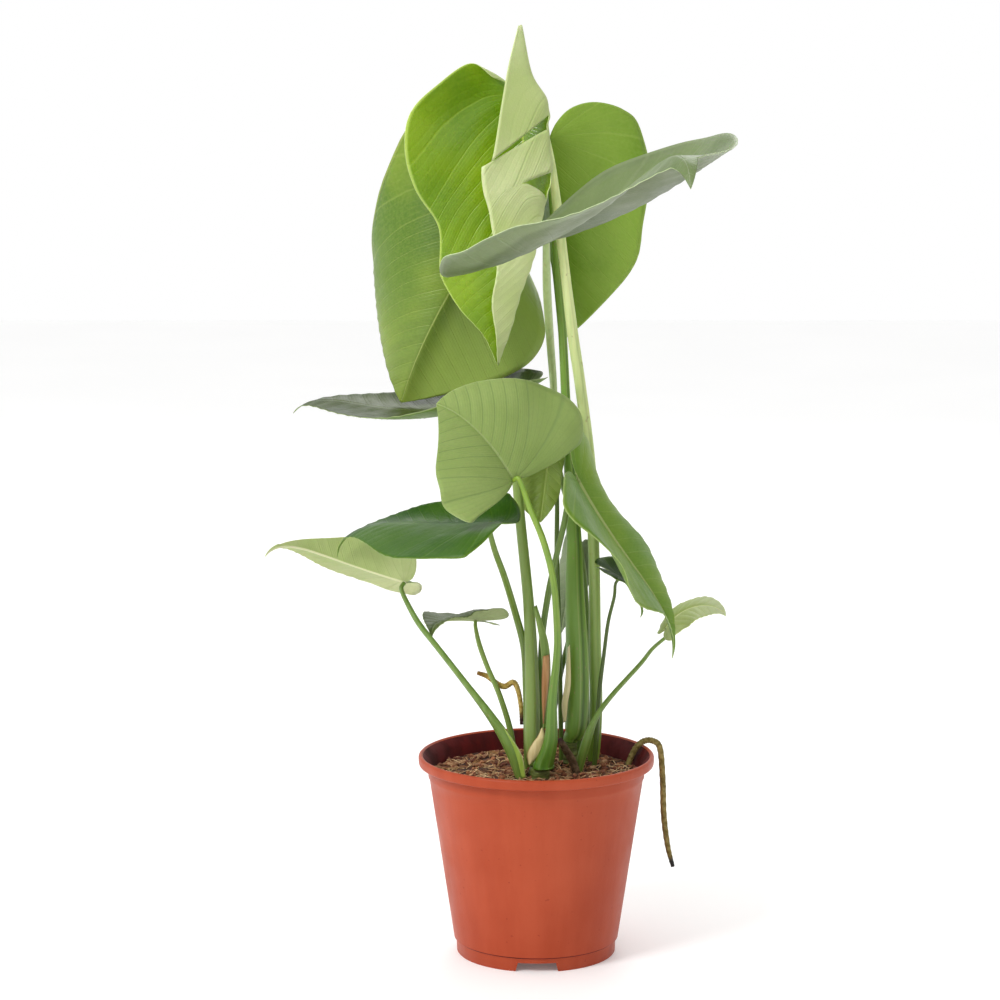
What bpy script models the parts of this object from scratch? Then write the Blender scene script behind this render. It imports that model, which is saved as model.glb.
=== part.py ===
"""Potted monstera: a young climbing aroid with 14 leaves in a moulded plastic nursery pot.

Lengths in the constants are millimetres and angles are degrees; MM turns them into metres.
All coordinates below are measured from the pot's axis (x, y) and from the floor (z), with the
viewer at -y. An empty on the pot's axis carries every piece, and it is shifted so that the
middle of the whole plant's footprint lies at the origin.
"""
import bpy
import bmesh
import numpy as np
from math import cos, pi, radians, sin, tan, tau
from mathutils import Vector

MM = 0.001
# Clearance that touching pieces keep
GAP = 0.3
# Edges sharper than this are shaded as edges
SHARP_ANGLE = 40.0
MERGE_DISTANCE = 0.00001

# Where the pot's axis stands, from the middle of the whole plant's bounding box
AXIS_X = 26.0
AXIS_Y = 61.0

# Pot
RIM_RADIUS = 85.0
POT_HEIGHT = 145.5
LIP_HEIGHT = 7.5
# Rounded bead of the lip, from its inside over the top to its lower edge: distances inwards from
# the rim's radius and downwards from its height
LIP_BEAD = ((3.2, 1.0), (2.0, 0.0), (0.7, 0.6), (0.0, 2.2), (0.3, 6.5), (1.6, 7.5))
STEP_WIDTH = 0.8
NECK_RADIUS = 78.5
SHOULDER_Z = 129.0
BODY_BASE_RADIUS = 59.5
FOOT_RADIUS = 57.5
FOOT_HEIGHT = 10.0
FOOT_WALL = 2.6
WALL = 1.8
FLOOR_UNDERSIDE = 7.5
FLOOR_TOP = 10.0
FLOOR_FILLET = 1.2
FLOOR_CENTRE = 1.0
# Openings in the foot ring, the first one towards the viewer
NOTCHES = 3
NOTCH_WIDTH = 27.0
NOTCH_FLARE = 1.25
NOTCH_HEIGHT = 6.5
NOTCH_DEPTH = 12.0
DRAIN_HOLES = 6
DRAIN_CIRCLE = 44.0
DRAIN_RADIUS = 5.0
DRAIN_DEPTH = 12.0
DRAIN_SIDES = 12
DRAIN_TURN = 27.0
POT_STEPS = 36

# Soil
SOIL_TOP = 131.0
SOIL_MOUND = 1.5
# Height of the broad and of the small lumps
LUMPS = (1.1, 0.7)
# Height up to which the sockets reach, above every lump
SOCKET_TOP = 137.0
SOIL_STEPS = 24
SOIL_RINGS = (18.0, 34.0, 50.0, 64.0)
SOIL_CHAMFER = 2.0

# Leaf blades
BLADE = 1.0
# Faces along a blade, and along one shorter than SMALL_BLADE, and across each half
BLADE_ALONG = 15
SMALL_BLADE_ALONG = 11
SMALL_BLADE = 75.0
BLADE_ACROSS = 3
# Share of the rows of faces that lie in the lobes, and how the rest crowd towards the junction
LOBE_ROWS = 0.12
ROW_POWER = 1.15
# The tip's hook grows with this power of the distance from the junction
HOOK_POWER = 5
MIDRIB_SAMPLES = 160
# Ripples of the margin along the blade, and how far they lag behind for each step outwards
WAVES = 1.6
WAVE_LAG = 0.7
# The last stretch of a petiole, square on the blade, and the room it leaves there for the
# blade's bend, as a share of the petiole's radius
KNEE = 4.5
SLACK = 0.5

# The outline of half a heart: the lobe behind the junction as (share of the lobe's length,
# share of the width), then the blade, whose width falls off towards the tip
LOBE = ((0.0, 0.0), (-0.45, 0.07), (-0.86, 0.22), (-1.0, 0.46), (-0.78, 0.76), (-0.28, 0.95))
BLADE_STEPS = (0.0, 0.22, 0.42, 0.58, 0.72, 0.84, 0.93, 1.0)

# One row for each leaf whose two halves both lie open.
#   at      junction of petiole and blade
#   way     heading and pitch of the midrib there; heading 0 is +x, 90 is away from the viewer
#   bend    arch (change of pitch), hook (extra change at the tip), sway (change of heading)
#   turn    roll about the midrib, and its change towards the tip
#   size    length of the blade before the junction, of the left lobe and of the right lobe
#   width   left and right half
#   fold    angle of the left and right half up from flat, at the midrib
#   curl    further bend of the left and right half from midrib to margin
#   shape   where the widest place ends, fullness of the flank, slimness of the tip
#   wave    height and phase of the margin's ripple
LEAVES = {
    "back_left": dict(at=(-23, 40, 542), way=(-135, -52), bend=(-17, 0, -86), turn=(96, 0),
                      size=(168, 53, 60), width=(95, 95), fold=(-34, -14), curl=(27, -76),
                      shape=(0.30, 1.26, 0.90), wave=(-1, 42)),
    "back_right": dict(at=(9, 62, 584), way=(-94, -95), bend=(-11, 0, -34), turn=(-27, 0),
                       size=(150, 27, 27), width=(75, 47), fold=(-20, -40), curl=(-53, 16),
                       shape=(0.21, 1.32, 0.90), wave=(4, -41)),
    "slanted_top": dict(at=(3, -92, 526), way=(-36, 18), bend=(18, -109, -49), turn=(0, -14),
                        size=(199, 47, 52), width=(118, 118), fold=(-18, -33), curl=(80, 53),
                        shape=(0.07, 1.60, 2.57), wave=(2, 39)),
    "dark_side": dict(at=(-21, 5, 406), way=(178, -22), bend=(57, -80, -37), turn=(0, 15),
                      size=(175, 30, 30), width=(58, 53), fold=(-11, -10), curl=(42, 44),
                      shape=(0.10, 1.02, 1.32), wave=(-1, 48)),
    "centre": dict(at=(-17, -65, 353), way=(205, 62), bend=(-28, -19, -31), turn=(71, 6),
                   size=(78, 4, 4), width=(56, 62), fold=(12, 26), curl=(-23, -7),
                   shape=(0.19, 1.08, 0.90), wave=(4, -76)),
    "glossy_left": dict(at=(-33, -61, 323.3), way=(162, -5), bend=(7, -86, -18), turn=(-25, 28),
                        size=(135, 15, 15), width=(66, 48), fold=(-19, 2), curl=(-36, 80),
                        shape=(0.02, 1.11, 1.69), wave=(-2, 36)),
    "low_left": dict(at=(-94.6, -1, 270.8), way=(166, 14), bend=(21, -73, 67), turn=(-35, -30),
                     size=(115, 8, 6), width=(35, 45), fold=(35, 35), curl=(11, -40),
                     shape=(0.03, 0.75, 1.68), wave=(2, 39)),
    "small_left": dict(at=(-44, 21, 239), way=(194, 7), bend=(-5, -76, 72), turn=(-33, 36),
                       size=(53, 25, 17), width=(24, 21), fold=(28, 24), curl=(-64, 11),
                       shape=(0.27, 1.20, 1.57), wave=(-1, 38)),
    "right_drooping": dict(at=(29, -30, 347), way=(26, -59), bend=(20, -62, 8), turn=(-28, 6),
                           size=(159, 34, 18), width=(45, 64), fold=(55, -5), curl=(-90, 2),
                           shape=(0.22, 1.32, 2.00), wave=(6, 124)),
    "shaded": dict(at=(9, 18, 362), way=(-114, -72), bend=(0, 0, 0), turn=(7, 0),
                   size=(51, 8, 8), width=(12, 25), fold=(8, 8), curl=(-21, -32),
                   shape=(0.30, 1.53, 0.90), wave=(2, -1)),
    "hidden_lower": dict(at=(32, 50, 288), way=(-222, -70), bend=(-10, 0, 0), turn=(77, 0),
                         size=(68, 10, 10), width=(17, 18), fold=(8, 8), curl=(-38, -15),
                         shape=(0.22, 1.21, 0.90), wave=(-1, 27)),
    "small_right_dark": dict(at=(60, 6, 273), way=(1, -36), bend=(-43, -30, 0), turn=(2, -2),
                             size=(35, 20, 20), width=(24, 21), fold=(8, 8), curl=(34, -20),
                             shape=(0.10, 1.00, 1.33), wave=(1, -84)),
    "low_right": dict(at=(94.5, 40, 229), way=(5, 60), bend=(-83, -37, -19), turn=(-17, -20),
                      size=(54, 6, 6), width=(20, 23), fold=(1, 6), curl=(-38, -1),
                      shape=(0.18, 1.17, 1.08), wave=(1, -99)),
}

# The unfurling leaf, section by section from its upper lobes to its drip tip. Each section
# runs from the open margin on the left, over a point half-way, to the midrib, round the turn
# on the right and back over the front to the free margin of the rolled half.
UNFURLING_SECTIONS = (
    ((-31, 18, 628), (-21, 22, 624), (-10, 24, 616), (-5, 8, 662), (-14, 2, 664)),
    ((-47, 14, 638), (-28, 24, 628), (-10, 25, 612), (1, 10, 632), (-21, 0, 636)),
    ((-69, 8, 624), (-38, 24, 616), (-10, 26, 604), (6, 10, 614), (-25, -2, 610)),
    ((-89, 4, 604), (-48, 22, 600), (-10, 26, 592), (8, 10, 602), (-32, -4, 570)),
    ((-93, 4, 578), (-50, 20, 578), (-10, 25, 576), (7, 10, 592), (-39, -4, 566)),
    ((-86, 8, 550), (-48, 20, 552), (-10, 24, 555), (10, 8, 562), (-37, -4, 545)),
    ((-70, 12, 524), (-40, 20, 530), (-11, 22, 534), (6, 8, 542), (-28, -4, 524)),
    ((-69, 10, 497), (-42, 18, 504), (-12, 20, 514), (1, 8, 520), (-28, -3, 502)),
    ((-67, 10, 486), (-44, 16, 490), (-15, 18, 496), (-3, 8, 500), (-29, -2, 489)),
    ((-55, 8, 466), (-40, 12, 469), (-20, 14, 470), (-12, 7, 476), (-32, -1, 470)),
    ((-38, 6, 447), (-33, 8, 449), (-24, 9, 448), (-19, 6, 450), (-29, 1, 447)),
)
UNFURLING_TIP = (-28, 4, 426)
UNFURLING_JUNCTION = (-10, 25, 612)
UNFURLING_UP = (0, -1, 0)
# Faces across each section, and the face where the rolled half begins
UNFURLING_ACROSS = 12
UNFURLING_TURN = 9
# Sections after which the rolled half is split, from its free margin to the turn on the right
SPLITS = (3, 5)

# Petioles, stems and roots: points along the middle of each, with the radius there. A petiole's
# last point is only a guide for its radius; its end follows from the blade that it carries.
PETIOLES = {
    "back_left": ((33, 38, 125, 2.4), (31, 38, 150, 2.5), (31, 40, 184, 2.6), (30, 43, 251, 2.4),
                  (27, 46, 324, 2.2), (21, 50, 411, 2.2), (16, 56, 469, 2.2), (12, 56, 500, 2.2),
                  (4, 49, 524, 2.1), (-10, 39, 540, 2.0), (-20, 38, 542, 1.5)),
    "back_right": ((25, 16, 150.6, 5.0), (25.5, 16, 153.5, 5.6), (29, 16, 163, 8.0), (30, 19, 203, 8.5),
                   (28, 22, 261, 6.9), (27, 25, 305, 5.4), (22, 33, 384, 3.6), (19, 40, 444, 3.1),
                   (15, 46, 491, 2.6), (11, 50, 541, 2.2), (9, 56, 578, 1.8)),
    "unfurling": ((41, 31, 125, 3.5), (43, 30, 145, 4.5), (44, 30, 178, 4.7), (43, 30, 223, 4.4),
                  (42, 29, 282, 4.2), (39, 28, 348, 4.2), (32, 27, 406, 4.0), (26, 27, 446, 4.0),
                  (21, 30, 485, 3.6), (14, 34, 542, 3.3), (9, 38, 577, 2.4), (2, 38, 600, 2.2),
                  (-10, 30, 612, 2.0)),
    "slanted_top": ((38, 45, 125, 2.4), (37, 44, 182, 2.6), (36, 38, 252, 2.5), (30, 37, 300, 2.4),
                    (17, 41, 345, 2.3), (13, 35, 378, 2.4), (12, 14, 410, 2.6),
                    (9, -19, 445, 2.8), (6, -60, 484, 2.9), (4, -87, 516, 2.4)),
    "dark_side": ((-1, -14, 140.6, 5.2), (-1.3, -13.8, 144, 5.4), (-3, -12, 157, 5.7),
                  (-3, -11, 187, 5.3), (-4, -10, 223, 4.6), (-6, -7, 259, 3.9), (-11, -3, 309, 3.7),
                  (-14, 0, 341, 3.4), (-17, 3, 373, 3.0), (-20, 5, 398, 2.2)),
    "centre": ((5, -24, 140.6, 4.4), (5.4, -24.5, 144, 4.5), (10, -28, 162, 4.6),
               (11, -30, 191, 3.3), (14, -33, 224, 2.6), (14, -37, 246, 2.5), (11, -46, 280, 2.3),
               (4, -56, 309, 2.3), (-6, -66, 335, 2.1), (-17, -67, 352, 1.7)),
    "glossy_left": ((-6, -1, 125, 2.6), (-6.5, -1.5, 161, 2.8), (-7.1, -2.3, 194, 2.8),
                    (-8.8, -3, 223, 2.7), (-15, -9, 249, 2.5), (-23, -34, 280, 2.3),
                    (-29.5, -52, 301, 2.1), (-33, -60, 317, 1.8)),
    "low_left": ((-9, -22, 125, 3.0), (-19, -24, 155, 4.4), (-32, -25, 177, 3.2),
                 (-50, -24, 201, 2.3), (-70, -21, 226.5, 2.1), (-83, -15, 242, 2.1),
                 (-90.5, -9, 253.5, 1.9), (-94, -5, 267, 1.6)),
    "small_left": ((-15, 8, 125, 2.2), (-18, 8, 157, 2.2), (-26, 9, 185, 2.0), (-35, 11, 206, 1.8),
                   (-41, 15, 222, 1.8), (-44, 19, 234, 1.4)),
    "right_drooping": ((4, 6, 125, 2.7), (3, 4, 184, 2.5), (4, 0, 229, 2.3), (8, -7, 262, 2.3),
                       (13, -16, 289, 2.1), (19, -24, 317, 2.1), (26, -30, 342, 1.7)),
    "shaded": ((19, 31, 125, 1.8), (18, 33, 178, 1.8), (17, 32, 224, 1.8), (15, 27, 284, 1.8),
               (15, 28, 328, 1.6), (13, 26, 350, 1.4), (11, 24, 360, 1.3)),
    "hidden_lower": ((9, 36, 125, 2.2), (13, 40, 165, 2.2), (19, 48, 197, 2.0), (29, 58, 235, 1.8),
                     (37, 60, 264, 1.6), (36, 54, 282, 1.4)),
    "small_right_dark": ((42, 16, 125, 1.8), (44, 16, 155, 1.8), (46, 17, 188, 1.6),
                         (49, 17, 214, 1.4), (52, 15, 239, 1.3), (56, 10, 258, 1.2),
                         (58, 7, 268, 1.1)),
    "low_right": ((28, -2, 125, 3.0), (36, -4, 155, 3.4), (43, 0, 172, 2.1), (54.3, 8, 186, 1.8),
                  (76, 24, 206.5, 1.6), (85.5, 34, 216, 1.4), (94, 40, 225, 1.2)),
}
# Leaves with the bright green of new growth
YOUNG = ("unfurling", "low_right")
# Petioles that stand on a stem's top and not in the soil
ON_STEM = ("back_right", "dark_side", "centre")
# Leaves whose described upper face is the lower one, so that the petiole meets it
SEEN_FROM_BELOW = ("back_left", "back_right", "centre")
STEMS = {
    "left_stem": ((2, -19, 124, 7.0), (2, -19, 132, 7.6), (2, -19, 140, 7.4)),
    "right_stem": ((25, 16, 124, 4.6), (25, 16, 137, 5.0), (25, 16, 150, 4.8)),
}
ROOTS = {
    "curled_root": ((-10.6, 3.5, 166, 1.2), (-10.9, 3.5, 178, 1.6), (-13, 6, 190, 1.8),
                    (-16.5, 10, 195.5, 2.0), (-22.5, 13.2, 192, 2.1), (-28, 14.4, 193.5, 2.1),
                    (-35, 14.5, 199, 1.9), (-42.5, 13, 202, 1.4)),
    "rim_root": ((66, 19, 124, 2.2), (68, 20, 134, 2.2), (73, 23, 144, 2.2), (79, 26, 148.6, 2.2),
                 (86, 28, 148.2, 2.2), (91, 30, 142, 2.2), (93, 29, 119, 2.2), (94, 28, 93, 2.2),
                 (97, 27, 70, 2.0), (101, 27, 54, 1.4)),
    "stub_root": ((31, -11, 126, 2.6), (26, -12, 142, 2.8), (21, -13, 151, 2.7), (16, -12, 159, 2.0)),
}
# A root that hangs free of the soil
AERIAL = ("curled_root",)
# Points along a tube for each point of its route, and the fewest that a tube has
TUBE_DENSITY = 1.6
TUBE_POINTS = 4

# Colours, roughness
LOOKS = {
    "pot": ((0.55, 0.11, 0.045, 1), 0.42),
    "soil": ((0.07, 0.035, 0.02, 1), 0.95),
    "leaf": ((0.16, 0.33, 0.06, 1), 0.38),
    "young_leaf": ((0.33, 0.52, 0.08, 1), 0.32),
    "petiole": ((0.22, 0.38, 0.09, 1), 0.42),
    "stem": ((0.13, 0.27, 0.07, 1), 0.5),
    "root": ((0.26, 0.18, 0.08, 1), 0.8),
}


def clear_scene():
    for thing in list(bpy.data.objects):
        bpy.data.objects.remove(thing, do_unlink=True)


def new_collection(name):
    group = bpy.data.collections.new(name)
    bpy.context.scene.collection.children.link(group)
    return group


def look(name, kind):
    colour, roughness = LOOKS[kind]
    material = bpy.data.materials.new(name)
    material.use_nodes = True
    shader = material.node_tree.nodes["Principled BSDF"]
    shader.inputs["Base Color"].default_value = colour
    shader.inputs["Roughness"].default_value = roughness
    shader.inputs["Metallic"].default_value = 0.0
    return material


def add_object(name, data, group, parent, kind=None):
    thing = bpy.data.objects.new(name, data)
    group.objects.link(thing)
    thing.parent = parent
    if kind:
        data.materials.append(look(name, kind))
    return thing


def as_cutter(thing):
    thing.hide_render = True
    thing.display_type = "WIRE"


def evaluated_mesh(thing):
    bpy.context.view_layer.update()
    graph = bpy.context.evaluated_depsgraph_get()
    return bpy.data.meshes.new_from_object(thing.evaluated_get(graph))


def smooth(mesh):
    mesh.shade_smooth()
    mesh.set_sharp_from_angle(angle=radians(SHARP_ANGLE))


def spline_through(points, samples):
    """A smooth curve through the points: rows of coordinates, at even steps between points."""
    known = np.asarray(points, float)
    padded = np.vstack([2 * known[0] - known[1], known, 2 * known[-1] - known[-2]])
    spans = len(known) - 1
    place = np.linspace(0, spans, samples)
    index = np.minimum(place.astype(int), spans - 1)
    part = (place - index)[:, None]
    a, b, c, d = (padded[index + k] for k in range(4))
    return 0.5 * (2 * b + (c - a) * part + (2 * a - 5 * b + 4 * c - d) * part ** 2
                  + (3 * b - a - 3 * c + d) * part ** 3)


def turned(name, profile, steps, group, parent, kind=None):
    """A profile of (radius, height) turned about the axis; its outer side runs downwards.

    A profile that begins and ends on the axis stays open there; any other one is closed.
    """
    mesh = bpy.data.meshes.new(name)
    points = [(radius * MM, 0, height * MM) for radius, height in profile]
    edges = [(k, k + 1) for k in range(len(points) - 1)]
    if profile[0][0] and profile[-1][0]:
        edges.append((len(points) - 1, 0))
    mesh.from_pydata(points, edges, [])
    thing = add_object(name, mesh, group, parent, kind)
    screw = thing.modifiers.new("turn", "SCREW")
    screw.steps = steps
    screw.render_steps = steps
    screw.use_merge_vertices = True
    screw.merge_threshold = MERGE_DISTANCE
    screw.use_smooth_shade = False
    return thing


def cut_by(thing, cutter):
    boolean = thing.modifiers.new("cut", "BOOLEAN")
    boolean.operation = "DIFFERENCE"
    if isinstance(cutter, bpy.types.Collection):
        boolean.operand_type = "COLLECTION"
        boolean.collection = cutter
    else:
        boolean.object = cutter


def inner_radius(height):
    """Inside radius of the pot's tapered wall at a height."""
    share = (height - FOOT_HEIGHT) / (POT_HEIGHT - LIP_HEIGHT - FOOT_HEIGHT)
    return BODY_BASE_RADIUS + share * (NECK_RADIUS - BODY_BASE_RADIUS) - WALL


def pot_profile():
    lip_base = POT_HEIGHT - LIP_HEIGHT
    shoulder_radius = inner_radius(SHOULDER_Z) + WALL
    bead = [(RIM_RADIUS - inwards, POT_HEIGHT - down) for inwards, down in LIP_BEAD]
    outside = [
        (NECK_RADIUS, lip_base - 0.6),
        (shoulder_radius + STEP_WIDTH, SHOULDER_Z + 0.6),
        (shoulder_radius, SHOULDER_Z - 1.0),
        (BODY_BASE_RADIUS, FOOT_HEIGHT + 0.8),
        (FOOT_RADIUS + 0.4, FOOT_HEIGHT - 0.6),
        (FOOT_RADIUS, 0.0),
    ]
    underside = [
        (FOOT_RADIUS - FOOT_WALL, 0.0),
        (FOOT_RADIUS - FOOT_WALL - 0.8, FLOOR_UNDERSIDE),
        (FLOOR_CENTRE, FLOOR_UNDERSIDE),
    ]
    inside = [
        (FLOOR_CENTRE, FLOOR_TOP),
        (inner_radius(FLOOR_TOP) - 1.0, FLOOR_TOP),
        (inner_radius(FLOOR_TOP + FLOOR_FILLET), FLOOR_TOP + FLOOR_FILLET),
        (inner_radius(lip_base), lip_base),
    ]
    return bead + outside + underside + inside


def add_pot(parts, cutters, parent):
    pot = turned("pot", pot_profile(), POT_STEPS, parts, parent, "pot")
    for k in range(NOTCHES):
        angle = -pi / 2 + k * tau / NOTCHES
        cut_by(pot, notch_cutter("notch_%d" % k, angle, cutters, parent))
    for k in range(DRAIN_HOLES):
        angle = radians(DRAIN_TURN) + k * tau / DRAIN_HOLES
        cut_by(pot, drain_cutter("drain_%d" % k, angle, cutters, parent))
    smooth(pot.data)


def notch_cutter(name, angle, cutters, parent):
    """A box through the foot ring that is wider below the floor than at its top."""
    mesh = bpy.data.meshes.new(name)
    work = bmesh.new()
    bmesh.ops.create_cube(work, size=1.0)
    for vertex in work.verts:
        flare = NOTCH_FLARE if vertex.co.z < 0 else 1.0
        vertex.co.x *= NOTCH_DEPTH * MM
        vertex.co.y *= NOTCH_WIDTH * flare * MM
        vertex.co.z *= 2 * NOTCH_HEIGHT * MM
    work.to_mesh(mesh)
    work.free()
    cutter = add_object(name, mesh, cutters, parent)
    middle = FOOT_RADIUS - FOOT_WALL / 2
    cutter.location = (middle * cos(angle) * MM, middle * sin(angle) * MM, 0)
    cutter.rotation_euler = (0, 0, angle)
    as_cutter(cutter)
    return cutter


def drain_cutter(name, angle, cutters, parent):
    mesh = bpy.data.meshes.new(name)
    work = bmesh.new()
    bmesh.ops.create_cone(work, cap_ends=True, segments=DRAIN_SIDES, radius1=DRAIN_RADIUS * MM,
                          radius2=DRAIN_RADIUS * MM, depth=DRAIN_DEPTH * MM)
    work.to_mesh(mesh)
    work.free()
    cutter = add_object(name, mesh, cutters, parent)
    middle = (FLOOR_UNDERSIDE + FLOOR_TOP) / 2
    cutter.location = (DRAIN_CIRCLE * cos(angle) * MM, DRAIN_CIRCLE * sin(angle) * MM, middle * MM)
    as_cutter(cutter)
    return cutter


def soil_height(x, y):
    """Lumps of the soil's surface above SOIL_TOP, flat at the wall."""
    edge = max(0.0, 1.0 - ((x * x + y * y) ** 0.5 / inner_radius(SOIL_TOP)) ** 4)
    broad = sin(0.11 * x + 1.0) * cos(0.09 * y - 0.4)
    small = sin(0.23 * y + 0.17 * x)
    return edge * (SOIL_MOUND + LUMPS[0] * broad + LUMPS[1] * small)


def add_soil(parts, parent, sockets):
    """The root ball fills the pot up to SOIL_TOP; a bored socket holds each petiole's foot."""
    top_radius = inner_radius(SOIL_TOP) - 2 * GAP
    rings = [(radius, SOIL_TOP) for radius in SOIL_RINGS]
    profile = [(0, SOIL_TOP)] + rings + [
        (top_radius, SOIL_TOP),
        (inner_radius(FLOOR_TOP + SOIL_CHAMFER) - 2 * GAP, FLOOR_TOP + SOIL_CHAMFER),
        (inner_radius(FLOOR_TOP) - 1.5 * SOIL_CHAMFER, FLOOR_TOP + GAP),
        (0, FLOOR_TOP + GAP),
    ]
    plain = turned("soil_blank", profile, SOIL_STEPS, parts, parent)
    mesh = evaluated_mesh(plain)
    bpy.data.objects.remove(plain, do_unlink=True)
    for vertex in mesh.vertices:
        if vertex.co.z > (SOIL_TOP - 0.1) * MM:
            vertex.co.z += soil_height(vertex.co.x / MM, vertex.co.y / MM) * MM
    mesh.name = "soil"
    soil = add_object("soil", mesh, parts, parent, "soil")
    cut_by(soil, sockets)


def tube_route(points):
    return spline_through(points, max(TUBE_POINTS, int(TUBE_DENSITY * len(points))))


def tube_mesh(name, route, extra=0.0):
    """A closed round tube along a route of (x, y, z, radius) rows, as a mesh."""
    curve = bpy.data.curves.new(name, "CURVE")
    curve.dimensions = "3D"
    curve.bevel_depth = 1.0
    curve.bevel_resolution = 1
    curve.use_fill_caps = True
    spline = curve.splines.new("POLY")
    spline.points.add(len(route) - 1)
    for place, point in zip(spline.points, route):
        place.co = (point[0] * MM, point[1] * MM, point[2] * MM, 1)
        place.radius = (point[3] + extra) * MM
    wire = bpy.data.objects.new(name, curve)
    bpy.context.scene.collection.objects.link(wire)
    mesh = evaluated_mesh(wire)
    bpy.data.objects.remove(wire, do_unlink=True)
    bpy.data.curves.remove(curve)
    work = bmesh.new()
    work.from_mesh(mesh)
    bmesh.ops.remove_doubles(work, verts=work.verts, dist=MERGE_DISTANCE)
    bmesh.ops.recalc_face_normals(work, faces=work.faces)
    work.to_mesh(mesh)
    work.free()
    mesh.name = name
    return mesh


def add_socket(name, points, sockets, parent):
    """A bore in the soil, GAP wider and deeper than the foot that stands in it."""
    route = tube_route(points)
    clear = np.argmax(route[:, 2] > SOCKET_TOP)
    foot = route[:clear + 1].copy()
    foot[0, 2] -= GAP
    socket = add_object(name, tube_mesh(name, foot, GAP), sockets, parent)
    as_cutter(socket)


def midrib_frames(leaf, along):
    """Points of the midrib and its sideways and upward directions, at distances from the junction."""
    length = leaf["size"][0]
    reach = np.linspace(-1.3 * max(leaf["size"][1:]) - 1, 1.02 * length, MIDRIB_SAMPLES)
    share = reach / length
    arch, hook, sway = leaf["bend"]
    pitch = np.radians(leaf["way"][1] + arch * share + hook * np.clip(share, 0, None) ** HOOK_POWER)
    heading = np.radians(leaf["way"][0] + sway * share)
    roll = np.radians(leaf["turn"][0] + leaf["turn"][1] * share)[:, None]
    tangent = np.stack([np.cos(pitch) * np.cos(heading), np.cos(pitch) * np.sin(heading),
                        np.sin(pitch)], 1)
    steps = (tangent[1:] + tangent[:-1]) / 2 * np.diff(reach)[:, None]
    middle = np.vstack([[0, 0, 0], np.cumsum(steps, 0)])
    level = np.stack([np.sin(heading), -np.cos(heading), 0 * heading], 1)
    above = np.cross(level, tangent)
    side = np.cos(roll) * level + np.sin(roll) * above
    up = np.cos(roll) * above - np.sin(roll) * level

    def at(rows, places):
        return np.stack([np.interp(places, reach, rows[:, k]) for k in range(3)], 1)

    start = at(middle, np.zeros(1))
    return at(middle, along) - start + np.array(leaf["at"], float), at(side, along), at(up, along)


def blade_points(leaf, along, across):
    """Points of the blade's middle surface; across is negative on the left half."""
    middle, side, up = midrib_frames(leaf, along)
    right = across > 0
    width = np.where(right, leaf["width"][1], leaf["width"][0])
    fold = np.radians(np.where(right, leaf["fold"][1], leaf["fold"][0]))
    curl = np.radians(np.where(right, leaf["curl"][1], leaf["curl"][0])) / width
    away = np.abs(across)
    out = (np.sin(fold + curl * away) - np.sin(fold)) / curl * np.sign(across)
    rise = (np.cos(fold) - np.cos(fold + curl * away)) / curl
    height, phase = leaf["wave"]
    turns = WAVES * (along - WAVE_LAG * away) / leaf["size"][0]
    ripple = np.sin(np.radians(phase * np.sign(across)) + tau * turns)
    rise = rise + height * (away / width) ** 2 * ripple
    return middle + side * out[:, None] + up * rise[:, None]


def half_outline(leaf, side, samples):
    """Margin of one half as flat (along, across) points; side is 1 for the right half."""
    lobe = leaf["size"][2] if side > 0 else leaf["size"][1]
    width = leaf["width"][1] if side > 0 else leaf["width"][0]
    widest, fullness, slimness = leaf["shape"]
    points = [(share * lobe, reach * width * side) for share, reach in LOBE]
    for step in BLADE_STEPS:
        reach = max(0.0, cos(pi / 2 * step ** fullness)) ** slimness
        points.append(((widest + (1 - widest) * step) * leaf["size"][0], reach * width * side))
    return spline_through(points, samples)


def blade_grid(name, along_count, across_count, place):
    """A grid from junction (first row) to tip (last row), laid over a blade by place(u, v)."""
    mesh = bpy.data.meshes.new(name)
    work = bmesh.new()
    bmesh.ops.create_grid(work, x_segments=along_count, y_segments=across_count, size=1.0)
    rows = np.array([vertex.co.x for vertex in work.verts]) * 0.5 + 0.5
    columns = np.array([vertex.co.y for vertex in work.verts])
    for vertex, point in zip(work.verts, place(rows, columns)):
        vertex.co = Vector(point) * MM
    bmesh.ops.remove_doubles(work, verts=work.verts, dist=MERGE_DISTANCE)
    work.to_mesh(mesh)
    work.free()
    return mesh


def open_blade(name, leaf):
    """The sheet of a leaf whose halves both lie open."""
    length = leaf["size"][0]
    along_count = BLADE_ALONG if length > SMALL_BLADE else SMALL_BLADE_ALONG
    margins = {side: half_outline(leaf, side, along_count + 1) for side in (-1, 1)}

    def place(rows, columns):
        index = np.rint(rows * along_count).astype(int)
        share = np.abs(columns)
        margin = np.where((columns < 0)[:, None], margins[-1][index], margins[1][index])
        spine = length * np.clip((rows - LOBE_ROWS) / (1 - LOBE_ROWS), 0, None) ** ROW_POWER
        along = spine + (margin[:, 0] - spine) * share
        return blade_points(leaf, along, margin[:, 1] * share)

    return blade_grid(name, along_count, 2 * BLADE_ACROSS, place)


def unfurling_blade(name):
    """The sheet of the young leaf: one half open, the other rolled over the front and split."""
    sections = [spline_through(section, UNFURLING_ACROSS + 1) for section in UNFURLING_SECTIONS]
    mesh = bpy.data.meshes.new(name)
    work = bmesh.new()
    grid = [[work.verts.new(Vector(point) * MM) for point in section] for section in sections]
    for k in range(len(grid) - 1):
        for j in range(UNFURLING_ACROSS):
            if k in SPLITS and j >= UNFURLING_TURN:
                continue
            work.faces.new((grid[k][j], grid[k + 1][j], grid[k + 1][j + 1], grid[k][j + 1]))
    tip = work.verts.new(Vector(UNFURLING_TIP) * MM)
    for j in range(UNFURLING_ACROSS):
        work.faces.new((grid[-1][j], tip, grid[-1][j + 1]))
    bmesh.ops.recalc_face_normals(work, faces=work.faces)
    work.to_mesh(mesh)
    work.free()
    return mesh


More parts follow.
